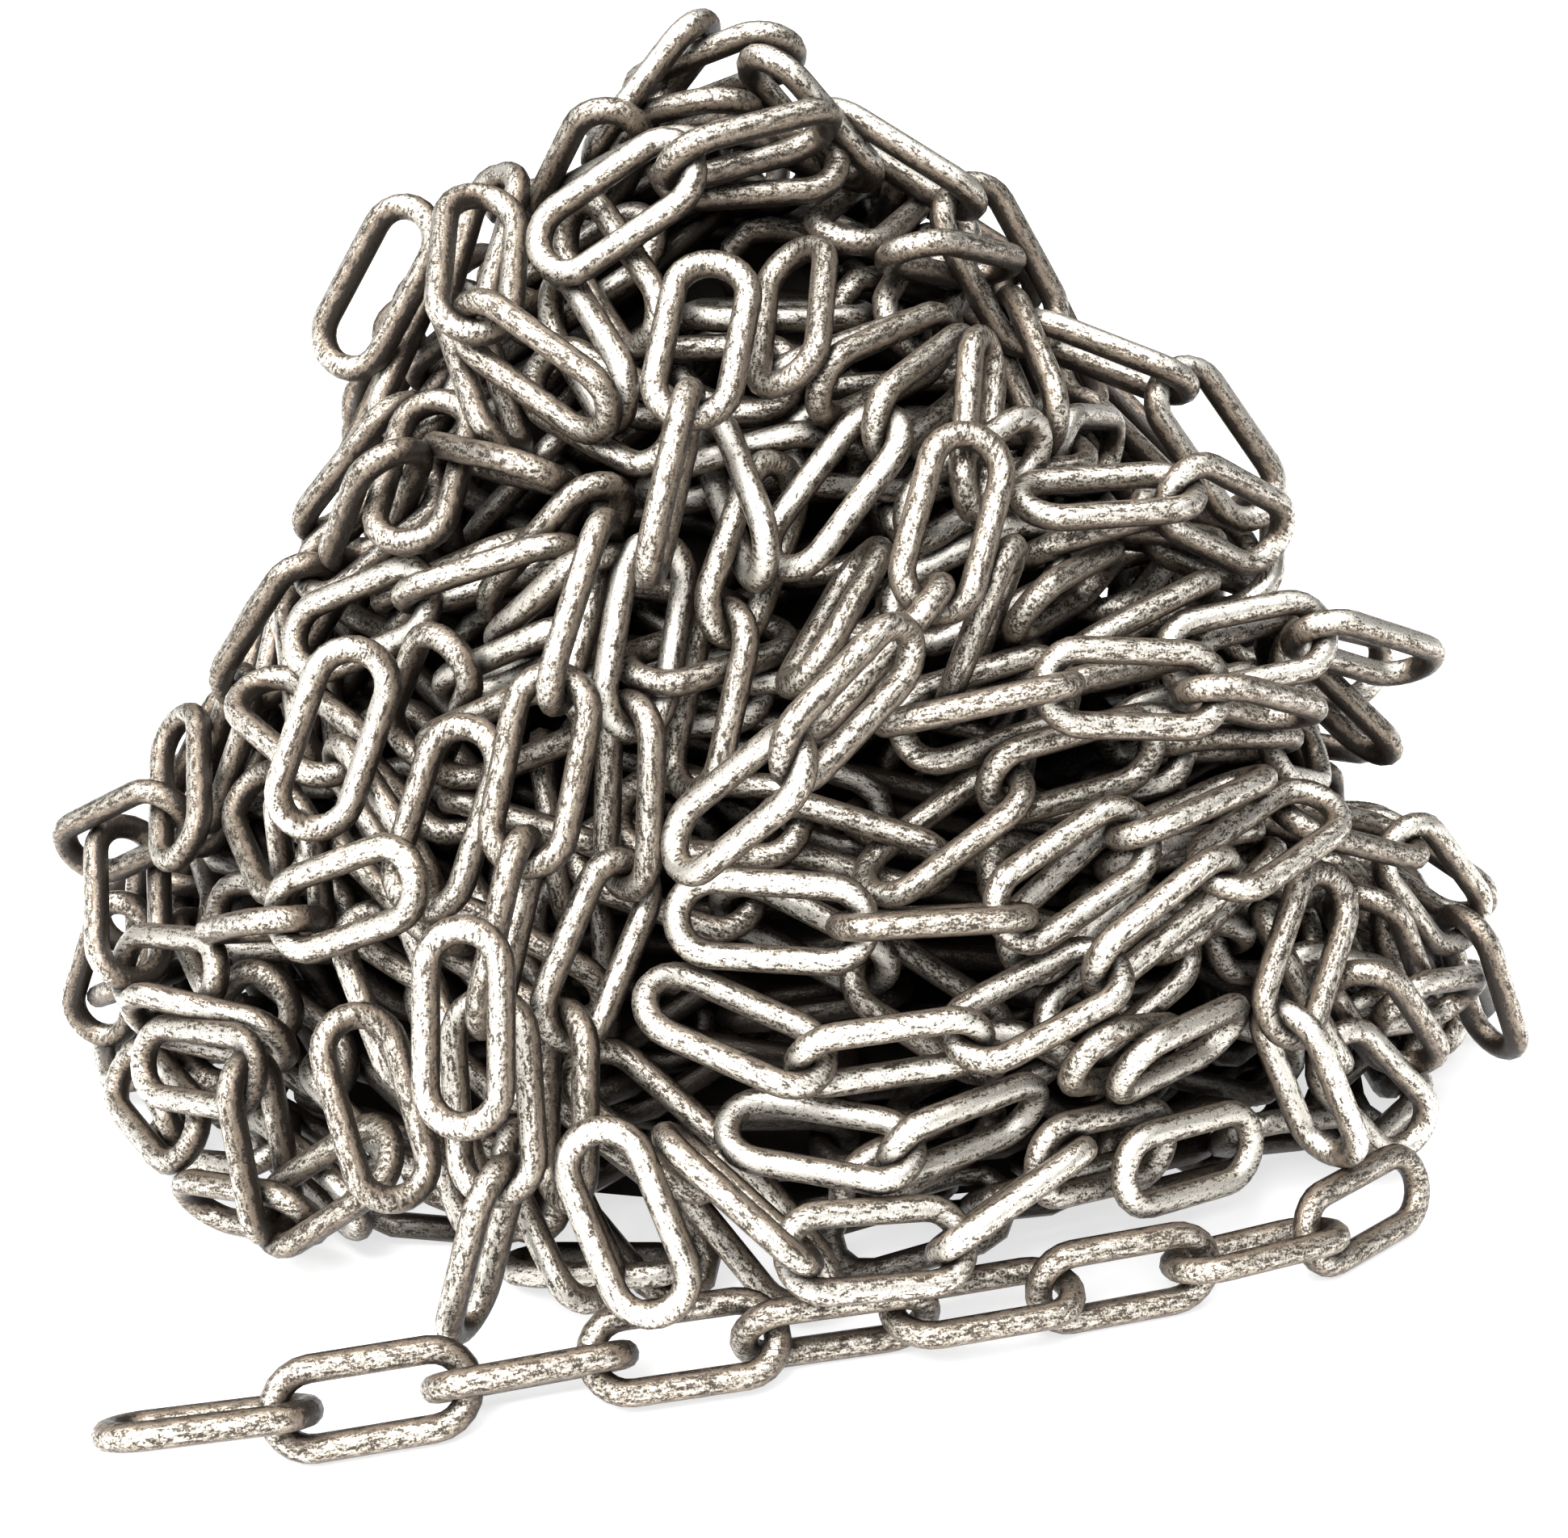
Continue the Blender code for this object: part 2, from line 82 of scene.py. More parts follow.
# How far off the surface the strands of each layer start, before they are eased on to what is there
LAYER_LIFTS = (-0.003, 0.007, 0.014)

# Laying the solids' strands: steps between the picture points of a route, room off the core and off
# other wires, how near those have to be to count, and the least length that a push's way is taken to have
ROUTE_STEPS = 8
CLEARANCE = 0.0003
CORE_ROOM = WIRE / 2 + CLEARANCE
WIRE_ROOM = WIRE + CLEARANCE + 0.0007
NEAR_STRAND = 0.16
LEAST_PUSH = 0.3

# Rounds of moving a strand, a trailing one and the joints of one, and the shift that counts as rest
LAY_ROUNDS = 200
TAIL_ROUNDS = 60
PITCH_ROUNDS = 12
AT_REST = 0.00005

# Strands of the back, by compass angle in degrees from the right-hand side: height and both ends of
# each band round it, and the lower and upper end of each strand that hangs down
BACK_STEPS = 40
BACK_BANDS = [(0.024, 2, 172), (0.068, 8, 168), (0.112, 0, 176), (0.158, 10, 165)]
BAND_WAVE = 0.010
BAND_WAVES = 2.5
WAVE_OFFSET = 0.3
BACK_DROPS = [(38, 62), (95, 74), (150, 122)]
DROP_LOW = 0.016
DROP_HIGH = 0.205

# Viewpoint that the routes are drawn from, as columns and rows of a 1941 by 1904 picture
PICTURE_WIDTH = 1941
PICTURE_HEIGHT = 1904
EYE = np.array([0.0, -0.492, 0.338])
EYE_PITCH = math.radians(22)
EYE_AHEAD = np.array([0.0, math.cos(EYE_PITCH), -math.sin(EYE_PITCH)])
EYE_UP = np.array([0.0, math.sin(EYE_PITCH), math.cos(EYE_PITCH)])
EYE_RIGHT = np.array([1.0, 0.0, 0.0])
EYE_FOCAL = 3400.0
EYE_COLUMN = 970.0
EYE_ROW = 952.0

# Lines of sight: where along them the heap is looked for, and a sloping plane that stops those that
# pass the heap's edge
SIGHT_FROM, SIGHT_TO, SIGHT_STEPS = 0.30, 1.0, 1401
EDGE_BEHIND_TAIL = 0.110
EDGE_SLOPE = 0.12

# Strands of the solids: name, turn of the first link about its length, layer, and picture points
FRONT_STRANDS = [
    ("strand_top_loop", 55, 0, [(760, 175), (855, 52)]),
    ("strand_centre_top", 0, 2, [(905, 270), (871, 432), (848, 597), (822, 700)]),
    (
        "strand_centre_drop", 90, 2,
        [(772, 690), (738, 885), (718, 1040), (660, 1255), (655, 1430), (607, 1600)],
    ),
    ("strand_centre_inner", 45, 1, [(835, 705), (806, 880), (775, 1080), (738, 1235), (735, 1450)]),
    ("strand_swag_upper", 0, 2, [(872, 1150), (1075, 1160), (1235, 1158), (1385, 1060), (1545, 985)]),
    (
        "strand_swag_lower", 45, 2,
        [(812, 1190), (975, 1300), (1165, 1345), (1335, 1250), (1480, 1110), (1640, 1015)],
    ),
    ("strand_bottom_swag", 90, 1, [(840, 1375), (998, 1522), (1180, 1520), (1335, 1430)]),
    ("strand_bottom_left_fan", 45, 0, [(650, 1400), (680, 1490), (745, 1600)]),
    ("strand_bottom_mid_fan", 0, 1, [(750, 1375), (822, 1550)]),
    ("strand_bottom_right_fan", 45, 0, [(760, 1340), (880, 1450), (980, 1575)]),
    ("strand_dark_sill", 45, 0, [(930, 1400), (1100, 1420), (1250, 1370)]),
    ("strand_right_foot", 45, 0, [(1750, 1410), (1610, 1290), (1545, 1130)]),
    ("strand_right_ring", 0, 1, [(1600, 1115), (1560, 1265), (1640, 1400)]),
    ("strand_right_arch", 45, 1, [(1590, 1000), (1700, 1020), (1785, 1150), (1850, 1280)]),
    ("strand_right_loop", 70, 0, [(1725, 1010), (1865, 1105)]),
    ("strand_right_middle", 0, 1, [(1130, 905), (1330, 840), (1520, 800), (1660, 850)]),
    ("strand_right_lower", 90, 1, [(1010, 955), (1215, 915), (1400, 845), (1560, 880)]),
    ("strand_right_band", 0, 0, [(1290, 960), (1450, 930), (1620, 930)]),
    ("strand_right_edge", 45, 0, [(1545, 800), (1645, 870), (1700, 950)]),
    ("strand_upper_right_band", 0, 0, [(1110, 770), (1240, 700), (1400, 660), (1540, 690)]),
    ("strand_upper_right_bow", 45, 1, [(1240, 660), (1310, 600), (1420, 610), (1520, 660)]),
    ("strand_shoulder_right", 45, 1, [(1215, 440), (1250, 560), (1200, 650)]),
    ("strand_shoulder_right_edge", 45, 0, [(1060, 170), (1190, 280), (1270, 390), (1400, 510), (1520, 640)]),
    ("strand_peak_front", 0, 1, [(720, 300), (850, 245), (1000, 190)]),
    ("strand_peak_bar", 0, 0, [(800, 215), (930, 150), (1040, 200)]),
    ("strand_peak_left", 45, 1, [(670, 260), (700, 390), (760, 500)]),
    ("strand_shoulder_left", 0, 0, [(610, 250), (605, 400), (640, 540)]),
    ("strand_shoulder_left_edge", 45, 0, [(580, 350), (510, 480)]),
    ("strand_middle_bow", 0, 1, [(1160, 560), (1110, 700), (1120, 790), (1010, 900)]),
    ("strand_middle_left", 45, 0, [(960, 600), (900, 780), (860, 960)]),
    ("strand_middle_slant", 45, 1, [(1030, 840), (900, 960), (800, 1080)]),
    ("strand_middle_upper", 45, 0, [(1180, 460), (1060, 560), (960, 700)]),
    ("strand_left_bar", 0, 1, [(370, 800), (540, 730), (700, 680)]),
    ("strand_left_edge", 0, 0, [(540, 590), (440, 690), (365, 800), (300, 920), (250, 1010)]),
    ("strand_left_slant", 45, 1, [(345, 850), (465, 965), (510, 1070)]),
    ("strand_left_arch", 45, 1, [(500, 800), (460, 930), (420, 1040)]),
    ("strand_left_hook", 0, 1, [(620, 930), (620, 1030), (560, 1120)]),
    ("strand_left_loop", 0, 1, [(560, 1080), (400, 1170), (220, 1150)]),
    ("strand_left_corner", 90, 1, [(155, 1040), (155, 1215), (260, 1215)]),
    ("strand_left_open", 0, 2, [(600, 1105), (600, 1290)]),
    ("strand_left_drop", 45, 1, [(470, 1150), (550, 1350), (590, 1500)]),
    ("strand_left_foot", 0, 1, [(200, 1290), (400, 1400), (320, 1470), (480, 1420)]),
    ("strand_left_foot_hook", 45, 1, [(490, 1290), (485, 1480), (560, 1530)]),
]

# Trailing links: turn of each, and picture points of the joints between them, from the free end inwards
TAIL_TURNS = (40, 130, 50, 150, 82, 10, 110, 35, 125)
TAIL_JOINTS = [
    (147, 1775), (342, 1752), (531, 1722), (722, 1682), (919, 1656), (1117, 1634), (1310, 1600),
    (1505, 1570), (1675, 1530), (1764, 1452),
]

# Groups of links: the trailing ones, those of the solids' strands, those picked out in the picture,
# the ones that fill the heap's outside and its inside, and those that bear the strands that stand off
# it; then for each group how readily it gives when pushed, and how far off the heap it may lie
TAIL, SOLID_STRAND, SEEN, OUTSIDE, INSIDE, BEARING = range(6)
GIVE = np.array([0.0, 0.0, 0.35, 1.0, 1.0, 1.0])
PROUDEST = np.array([0.008, 0.008, 0.022, 0.008, 0.008, 0.019])

# Turns of filling: fewest links in a wandering strand, and one more than the most
WANDER_LINKS = [(4, 9), (2, 5), (1, 3)]

# Layers that are filled: depth below the heap's surface, how many links, and their group; then how many
# strands are tried of each length
LAYERS = [
    (0.003, 170, OUTSIDE), (0.012, 150, OUTSIDE), (0.022, 160, INSIDE), (0.033, 130, INSIDE),
    (0.043, 80, INSIDE), (-0.009, 130, BEARING),
]
LAYER_TRIES = 700
FILL_SEED = 11

# Room for a trial strand: how near it may come to what is there and over what share of it, looked up in
# cells of the space round the heap
CROWDED_GAP = 0.0050
CROWDED_SHARE = 0.08
TAKEN_CELL = 0.0015
TAKEN_LOW = np.array([-0.25, -0.10, -0.01])
TAKEN_SIZE = np.array([0.50, 0.46, 0.30])

# Bearing links lie under the solids' strands that are further off the heap than this, and near to them
STANDS_OFF = 0.015
BEARING_REACH = 0.034

# Starts of wandering strands: what keeps them off the peak and the foot, and how many lie high up
START_SPREAD = (0.004, 0.99)
PEAK_SHARE = 1.25

# Way of wandering strands: they rise to the right, by this angle in radians, but for a share that goes
# any way, on the right half and on the left
FLOW_RISE = 0.38
FLOW_SPREAD = 0.22
FLOW_STRAY = 0.25
LEFT_STRAY = 0.8

# Each wandering strand bends steadily, swerves at every link and is brought back to its depth, and its
# links are a quarter turn from each other, give or take this in degrees
BEND_SPREAD = 0.12
SWERVE = 0.2
LEVEL_STEPS = 4
TURN_SPREAD = 12

# Dark hollow between the swags: picture points, and how near to them no outer link is put
HOLLOWS = [(880, 1320), (950, 1370)]
HOLLOW_RADIUS = 0.024

# Foot of the heap in the picture: no filling link is put where it would show below this line
FOOT_LINE = [
    (60, 1330), (160, 1400), (270, 1515), (470, 1515), (530, 1560), (600, 1625), (760, 1610), (1000, 1585),
    (1180, 1585), (1300, 1510), (1560, 1440), (1760, 1450), (1880, 1300),
]

# Easing apart: rounds, how often neighbours are looked up, and the deepest cut that is let be
EASE_ROUNDS = 60
LOOK_UP_ROUNDS = 4
MOST_CUT = 0.0010

# How a link swings when it is pushed off its middle, along it or across, and the most it turns at once
SWING_LONG = 0.013
SWING_WIDE = 0.008
MOST_TURN = 0.12

# What share of a cut is mended in a round, how much less a link does for each where many ask, how hard
# and beyond what slack a link pulls the next one back, and how far all are drawn in during a round
EAGER = 0.8
CROWD_POWER = 0.6
CHAIN_PULL = 0.5
SLACK = 0.0012
DRAWN_IN = 0.00008

# Where the solids' own zero lies in the drawing's: under the middle of the core's base
CORE_LOW, CORE_HIGH = (np.array(corner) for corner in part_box("heap_core"))
ORIGIN = np.array([0.0, HEAP_BEHIND_TAIL, 0.0]) - (CORE_LOW + CORE_HIGH) / 2 * [1, 1, 0]

# Single links picked out in the picture: how edge-on the eye is in degrees, lift off the heap, and the
# picture points of its two ends
SEEN_LINKS = [
    (70, -0.004, 755, 168, 930, 140), (45, -0.004, 800, 118, 960, 95), (50, -0.004, 930, 110, 1040, 195),
    (60, 0.000, 660, 240, 790, 160), (80, 0.000, 720, 205, 900, 215), (80, 0.000, 850, 222, 1030, 182),
    (60, 0.004, 680, 345, 765, 525), (50, 0.004, 700, 262, 800, 420),
    (20, 0.006, 655, 450, 815, 575), (60, 0.004, 600, 490, 540, 680), (60, 0.002, 555, 575, 720, 570),
    (50, 0.004, 405, 730, 540, 570), (40, 0.004, 560, 780, 500, 945), (70, 0.006, 565, 840, 745, 775),
    (70, 0.005, 595, 735, 790, 635), (60, 0.004, 645, 795, 795, 660), (25, 0.006, 555, 945, 715, 860),
    (20, 0.004, 108, 1080, 232, 980), (45, 0.004, 295, 960, 360, 1100), (50, 0.005, 390, 975, 355, 1170),
    (60, 0.002, 270, 915, 245, 1030), (40, 0.006, 180, 1262, 385, 1362),
    (25, 0.002, 150, 1310, 245, 1425), (60, 0.000, 240, 1475, 400, 1505),
    (50, 0.003, 1290, 1495, 1440, 1365), (15, 0.002, 1370, 1445, 1560, 1410),
    (60, 0.000, 1050, 1470, 1245, 1380), (20, 0.008, 1130, 690, 1305, 565),
    (80, 0.008, 1252, 675, 1108, 912), (70, 0.005, 1075, 670, 950, 835), (50, 0.004, 935, 745, 825, 870),
    (60, 0.004, 1225, 755, 1370, 675), (55, 0.006, 900, 560, 945, 740), (55, 0.004, 1085, 270, 1250, 362),
    (30, 0.004, 975, 340, 1000, 480), (55, 0.004, 1025, 505, 1165, 425),
    (60, 0.004, 1255, 375, 1308, 575), (60, 0.006, 1325, 635, 1525, 690),
    (70, 0.005, 1300, 820, 1525, 735), (50, 0.004, 1480, 880, 1585, 795),
    (60, 0.004, 1380, 905, 1575, 853), (15, 0.002, 1600, 770, 1725, 860),
    (45, 0.002, 1660, 1100, 1750, 1230), (60, 0.002, 1690, 1255, 1850, 1215),
    (20, 0.000, 1600, 1170, 1720, 1240), (40, 0.004, 1625, 1205, 1765, 1345),
    (60, 0.006, 1365, 1345, 1560, 1268), (20, 0.008, 1350, 1290, 1450, 1330),
]

# How far a picked link may tilt off the heap's own slope, so that it looks as long as in the picture
MOST_TILT = 0.010

# Link as it is drawn: steps in a bend and flats round the wire, of a link that is seen well and of a
# plainer one, and the ring of the weld, as places along the side and swell
FINE_BENDS, PLAIN_BENDS = 11, 5
FINE_SIDES, PLAIN_SIDES = 12, 8
WELD_RING = [(0.0024, 1.0), (0.0012, 1.0), (0.0006, 1.09), (-0.0002, 1.10), (-0.0008, 1.0), (-0.0024, 1.0)]

# How far back the pieces of the front reach
FRONT_TO = 0.03

# Painted light and shade on the iron: how far off its neighbour a wire counts as clear of the painted shade
# between links, from what depth the inside is painted dark as shade, which way off the heap's surface the
# worn side with its painted highlight faces, leaning to the left as the light does, and how square to that
# a wire is that is worn and lit in full
OPEN_GAP = 0.0040
DARK_DEPTH = 0.036
WEAR_AND_LIGHT_LEAN = (-0.30, 0.0, 0.05)
LEAST_WORN_AND_LIT = 0.6

# Tone: each link has its own, and the trailing ones are duller
TONE_SEED = 5
TAIL_TONE = 0.3

# Noise of the pits, and of a grain that is drawn out along the wire: scale, detail, roughness and warp
PIT_NOISE = (1900.0, 5.0, 0.7, 0.0)
GRAIN_NOISE = (1150.0, 4.0, 0.6, 0.3)
GRAIN_DRAWN_OUT = 3.0

# Colours of the iron, from the side away from the wear and the light, painted dark as shade, to the most
# worn side, bare iron painted bright as a highlight: over what span of that value each takes over from the
# one before
IRON_PAINTED_SHADE = (0.022, 0.016, 0.012, 1.0)
IRON_BROWN = (0.185, 0.143, 0.106, 1.0)
IRON_GREY = (0.43, 0.375, 0.305, 1.0)
IRON_BARE_PAINTED_HIGHLIGHT = (0.93, 0.885, 0.80, 1.0)
WEAR_AND_PAINTED_LIGHT_COLOURS = [(0.05, 0.45, IRON_BROWN), (0.45, 0.85, IRON_GREY), (0.82, 1.05, IRON_BARE_PAINTED_HIGHLIGHT)]

# Spans of the iron, each as two values and what they are carried to, or else to 0 and 1: wear and painted
# light by roughness and by the link's tone, the painted dark band of pits beside the painted highlight,
# and how much dark there is: rust in pits, painted shade in that band, painted shade near other links and
# painted shade deep in the heap
WEAR_AND_LIGHT_BY_ROUGHNESS = (0.38, 0.62, 0.22, -0.22)
WEAR_AND_LIGHT_BY_TONE = (0.0, 1.0, -0.12, 0.12)
PAINTED_BAND_FROM, PAINTED_BAND_TO = (0.30, 0.60), (0.75, 0.95, 0.09, 0.0)
RUST_AND_PAINTED_SHADE_DARK = (0.016, 0.011, 0.008, 1.0)
RUST_IN_PITS_AND_PAINTED_BAND = (0.55, 0.65, 0.0, 0.80)
PAINTED_SHADE_IN_GAPS = (0.0, 0.8, 0.96, 0.0)
PAINTED_SHADE_IN_DEPTH = (0.08, 0.7, 0.0, 0.95)
METAL_BY_WEAR_AND_LIGHT = (0.2, 0.95, 0.35, 0.90)
SHEEN_BY_ROUGHNESS = (0.36, 0.64, 0.24, 0.46)
PIT_STRENGTH = 0.5
PIT_HEIGHT = 0.0006

# Dark shape behind the innermost links: the heap's, drawn in at the sides and lowered at the peak
SHADE_DEPTH = 0.054
SHADE_BELOW_PEAK = 0.030
SHADE_LIFT = 0.004
SHADE_UP_TO = 0.97
SHADE_RINGS = 12
SHADE_SEGMENTS = 36
SHADE_DARK = (0.004, 0.0035, 0.003, 1.0)
SHADE_LESS_DARK = (0.014, 0.012, 0.010, 1.0)
SHADE_NOISE = (200.0, 4.0, 0.6, 0.0)

# Floor, one soft light, and a room that is bright overhead and dark at eye level
WHITE = (1.0, 1.0, 1.0, 1.0)
FLOOR_HALF = 30.0
FLOOR_COLOUR = (0.50, 0.50, 0.50, 1.0)
FLOOR_GLOW = 0.7
LIGHT_PLACE = (-0.6, -1.3, 1.7)
LIGHT_TARGET = (0.0, 0.0, 0.1)
LIGHT_SIZE = 1.0
LIGHT_POWER = 58.0
ROOM_UP = (-0.22, -0.36, 0.906)
ROOM_EDGE = (0.64, 0.84)
ROOM_DARK = 0.05
ROOM_BRIGHT = 3.9
FILM_WIDTH = 36.0
CAMERA_SEES = (0.01, 20.0)


def unit(vectors):
    """Vectors made one long."""
    return vectors / np.linalg.norm(vectors, axis=-1, keepdims=True)


def square_to(vectors, ways):
    """What is left of vectors when their part along unit directions is taken away."""
    return vectors - ways * (vectors * ways).sum(axis=1)[:, None]


def link_path(steps):
    """Centre line of one link along X, centred on the origin: (x, y) points of an oval."""
    points = []
    for side in (1, -1):
        for step in range(steps + 1):
            angle = math.pi * (step / steps - 0.5)
            x = END_REACH + BEND_RADIUS * math.cos(angle)
            points.append((side * x, side * BEND_RADIUS * math.sin(angle)))
    return np.array(points)


def whole_oval(bend_steps, side_steps):
    """Points all round the centre line of a link, on its straight sides too."""
    along = np.linspace(-1, 1, side_steps + 1)
    sides = [(x * END_REACH, y * BEND_RADIUS) for y in (-1, 1) for x in along]
    return np.vstack([link_path(bend_steps), sides])


def view_rays(columns, rows):
    """Unit directions from the eye through picture points."""
    across = (np.asarray(columns, float) - EYE_COLUMN) / EYE_FOCAL
    down = (np.asarray(rows, float) - EYE_ROW) / EYE_FOCAL
    return unit(EYE_AHEAD + across[:, None] * EYE_RIGHT - down[:, None] * EYE_UP)


def picture_places(points):
    """Columns and rows of the picture where points in space are seen."""
    away = (points - EYE) @ EYE_AHEAD
    columns = EYE_COLUMN + EYE_FOCAL * (points - EYE)[:, 0] / away
    return columns, EYE_ROW - EYE_FOCAL * ((points - EYE) @ EYE_UP) / away


def heap_distance(points, inset=0.0, below_peak=None):
    """Distance outside the heap's surface, made smaller by the inset, and the direction out of it."""
    half_width, half_depth = HEAP_HALF_WIDTH - inset, HEAP_HALF_DEPTH - inset
    height = HEAP_HEIGHT - (inset if below_peak is None else below_peak)
    x = points[..., 0] - HEAP_LEAN * points[..., 2]
    y = points[..., 1] - HEAP_BEHIND_TAIL
    radial = np.sqrt((x / half_width) ** 2 + (y / half_depth) ** 2) + 1e-6
    value = radial ** (1 / HEAP_POWER) + points[..., 2] / height - 1
    steepness = radial ** (1 / HEAP_POWER - 2) / HEAP_POWER
    slope = np.stack(
        [
            steepness * x / half_width**2,
            steepness * y / half_depth**2,
            1 / height - HEAP_LEAN * steepness * x / half_width**2,
        ],
        axis=-1,
    )
    size = np.linalg.norm(slope, axis=-1)
    return value / size, slope / size[..., None]


def heap_point(azimuth, height, lift=0.0):
    """Point on the surface of the heap, by its compass angle in degrees and its height."""
    angle = math.radians(azimuth)
    fall = (1 - height / HEAP_HEIGHT) ** HEAP_POWER
    return np.array(
        [
            (HEAP_HALF_WIDTH * fall + lift) * math.cos(angle) + HEAP_LEAN * height,
            (HEAP_HALF_DEPTH * fall + lift) * math.sin(angle) + HEAP_BEHIND_TAIL,
            height,
        ]
    )


def on_heap(picture_points, lift):
    """Where the lines of sight through the picture points first come within lift of the heap."""
    reach = np.linspace(SIGHT_FROM, SIGHT_TO, SIGHT_STEPS)
    rays = view_rays(*np.transpose(picture_points))
    points = EYE + rays[:, None, :] * reach[None, :, None]
    distance, _ = heap_distance(points)
    before_edge = EDGE_BEHIND_TAIL + EDGE_SLOPE * points[..., 2] - points[..., 1]
    above_ground = points[..., 2] - LINK_WIDTH / 2
    met = np.minimum(np.minimum(distance - lift, above_ground), before_edge) < 0
    return points[np.arange(len(points)), met.argmax(axis=1)]


def fill_in(picture_points, count):
    """The picture points with count - 1 more between each two."""
    corners = np.array(picture_points, float)
    share = np.linspace(0, 1, count, endpoint=False)[:, None]
    runs = [a + (b - a) * share for a, b in zip(corners[:-1], corners[1:])]
    return np.vstack(runs + [corners[-1:]])


def joints_along(curve, pitch):
    """Joints evenly along a curve, with as many links between them as its length has room for."""
    runs = np.linalg.norm(np.diff(curve, axis=0), axis=1)
    travelled = np.concatenate([[0], np.cumsum(runs)])
    count = max(1, round(travelled[-1] / pitch))
    at = np.linspace(0, travelled[-1], count + 1)
    return np.stack([np.interp(at, travelled, curve[:, axis]) for axis in range(3)], axis=1)


def link_frames(joints, turns):
    """Middle, long direction and side direction of the link between each two joints."""
    middles = (joints[:-1] + joints[1:]) / 2
    along = unit(joints[1:] - joints[:-1])
    _, out = heap_distance(middles)
    low = np.clip(1 - middles[:, 2:] / LINK_LENGTH, 0, 1)
    out = out * (1 - low) + np.array([0, 0, 1]) * low
    out = unit(square_to(out, along))
    across = np.cross(along, out)
    turn = np.radians(turns)[:, None]
    return middles, along, across * np.cos(turn) + out * np.sin(turn)


def bar_points(joints, turns):
    """Points along the centre line of each link, for measuring gaps."""
    middles, along, side = link_frames(joints, turns)
    path = whole_oval(*LAY_POINTS)
    return middles[:, None] + along[:, None] * path[None, :, :1] + side[:, None] * path[None, :, 1:]


class Strand:
    """A run of links: its joints and each link's turn about its length."""

    def __init__(self, turn, joints, pitch):
        self.joints = joints
        self.pitch = pitch
        quarters = 90.0 * np.arange(len(joints) - 1)
        self.turns = turn + quarters if np.isscalar(turn) else np.array(turn, float)

    def hold_pitch(self):
        """Draws the joints back to one pitch from each other."""
        for _ in range(PITCH_ROUNDS):
            for k in range(len(self.joints) - 1):
                apart = self.joints[k + 1] - self.joints[k]
                far = np.linalg.norm(apart)
                shift = apart / far * (far - self.pitch) / 2
                self.joints[k] += shift
                self.joints[k + 1] -= shift

    def push_link(self, k, shift):
        """Moves both joints of one link."""
        self.joints[k] += shift
        self.joints[k + 1] += shift


def wire_reach(sides):
    """Corner radius of a polygon as large in section as the round wire."""
    return WIRE / 2 * math.sqrt(2 * math.pi / (sides * math.sin(2 * math.pi / sides)))


def push_out(strand, room):
    """Moves the links of a strand off the core and off the ground, and tells how far they went."""
    moved = 0.0
    for k, bars in enumerate(bar_points(strand.joints, strand.turns)):
        distance, out = heap_distance(bars, CORE_BELOW_STRANDS)
        short = room - distance
        worst = short.argmax()
        if short[worst] > 0:
            strand.push_link(k, out[worst] * short[worst])
            moved = max(moved, short[worst])
        sunk = room - bars[:, 2].min()
        if sunk > 0:
            strand.push_link(k, np.array([0, 0, sunk]))
            moved = max(moved, sunk)
    return moved


def push_apart(strand, others, room):
    """Moves the links of a strand outwards, off the strands that were laid before it."""
    moved = 0.0
    bars = bar_points(strand.joints, strand.turns)
    for k in range(len(bars)):
        gaps = np.linalg.norm(others[:, None, :] - bars[k][None, :, :], axis=2)
        other, own = np.unravel_index(gaps.argmin(), gaps.shape)
        short = room - gaps[other, own]
        if short > 0:
            _, out = heap_distance(bars[k][own])
            away = (bars[k][own] - others[other]) / max(gaps[other, own], 1e-6)
            direction = away + out
            direction = direction / max(np.linalg.norm(direction), LEAST_PUSH)
            strand.push_link(k, direction * short)
            moved = max(moved, short)
    return moved


def back_strands():
    """Wavy bands round the back of the heap, and strands that hang down over them, each askew."""
    rows = []
    steps = np.linspace(0, 1, BACK_STEPS)
    for k, (height, first, last) in enumerate(BACK_BANDS):
        waves = height + BAND_WAVE * np.sin(2 * math.pi * (BAND_WAVES * steps + WAVE_OFFSET * k))
        curve = np.array([heap_point(first + (last - first) * s, z) for s, z in zip(steps, waves)])
        rows.append((f"strand_back_band_{k + 1}", 45 * (k % 2), 0, curve))
    for k, (below, above) in enumerate(BACK_DROPS):
        heights = DROP_LOW + (DROP_HIGH - DROP_LOW) * steps
        spread = zip(below + (above - below) * steps, heights)
        curve = np.array([heap_point(angle, z, LAYER_LIFTS[1]) for angle, z in spread])
        rows.append((f"strand_back_drop_{k + 1}", 45 * (k % 2), 1, curve))
    return rows


def tail_strand():
    """The trailing links, on the ground and then up the side of the heap."""
    strand = Strand(TAIL_TURNS, on_heap(TAIL_JOINTS, 0.0), LOOSE_PITCH)
    for _ in range(TAIL_ROUNDS):
        push_out(strand, wire_reach(LOOSE_SIDES) + CLEARANCE)
        strand.hold_pitch()
    return strand


def box_middle(strand, sides):
    """Middle of the box round the links of a strand, as the solids draw them, with flats on the wire."""
    path = link_path(BEND_STEPS)
    ahead = unit(np.roll(path, -1, axis=0) - path)
    tangent = unit(ahead + np.roll(ahead, 1, axis=0))
    outward = np.stack([tangent[:, 1], -tangent[:, 0]], axis=1)
    angle = 2 * math.pi * np.arange(sides) / sides
    flat = path[:, None] - outward[:, None] * (wire_reach(sides) * np.cos(angle))[None, :, None]
    height = np.broadcast_to(wire_reach(sides) * np.sin(angle), flat.shape[:2])
    corners = []
    for middle, along, side in zip(*link_frames(strand.joints, strand.turns)):
        spread = flat[..., :1] * along + flat[..., 1:] * side + height[..., None] * np.cross(along, side)
        corners.append(middle + spread.reshape(-1, 3))
    corners = np.vstack(corners)
    return (corners.min(axis=0) + corners.max(axis=0)) / 2


def solid_middle(*nodes):
    """Middle of the box round some solids."""
    boxes = np.array([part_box(node) for node in nodes])
    return (boxes[:, 0].min(axis=0) + boxes[:, 1].max(axis=0)) / 2


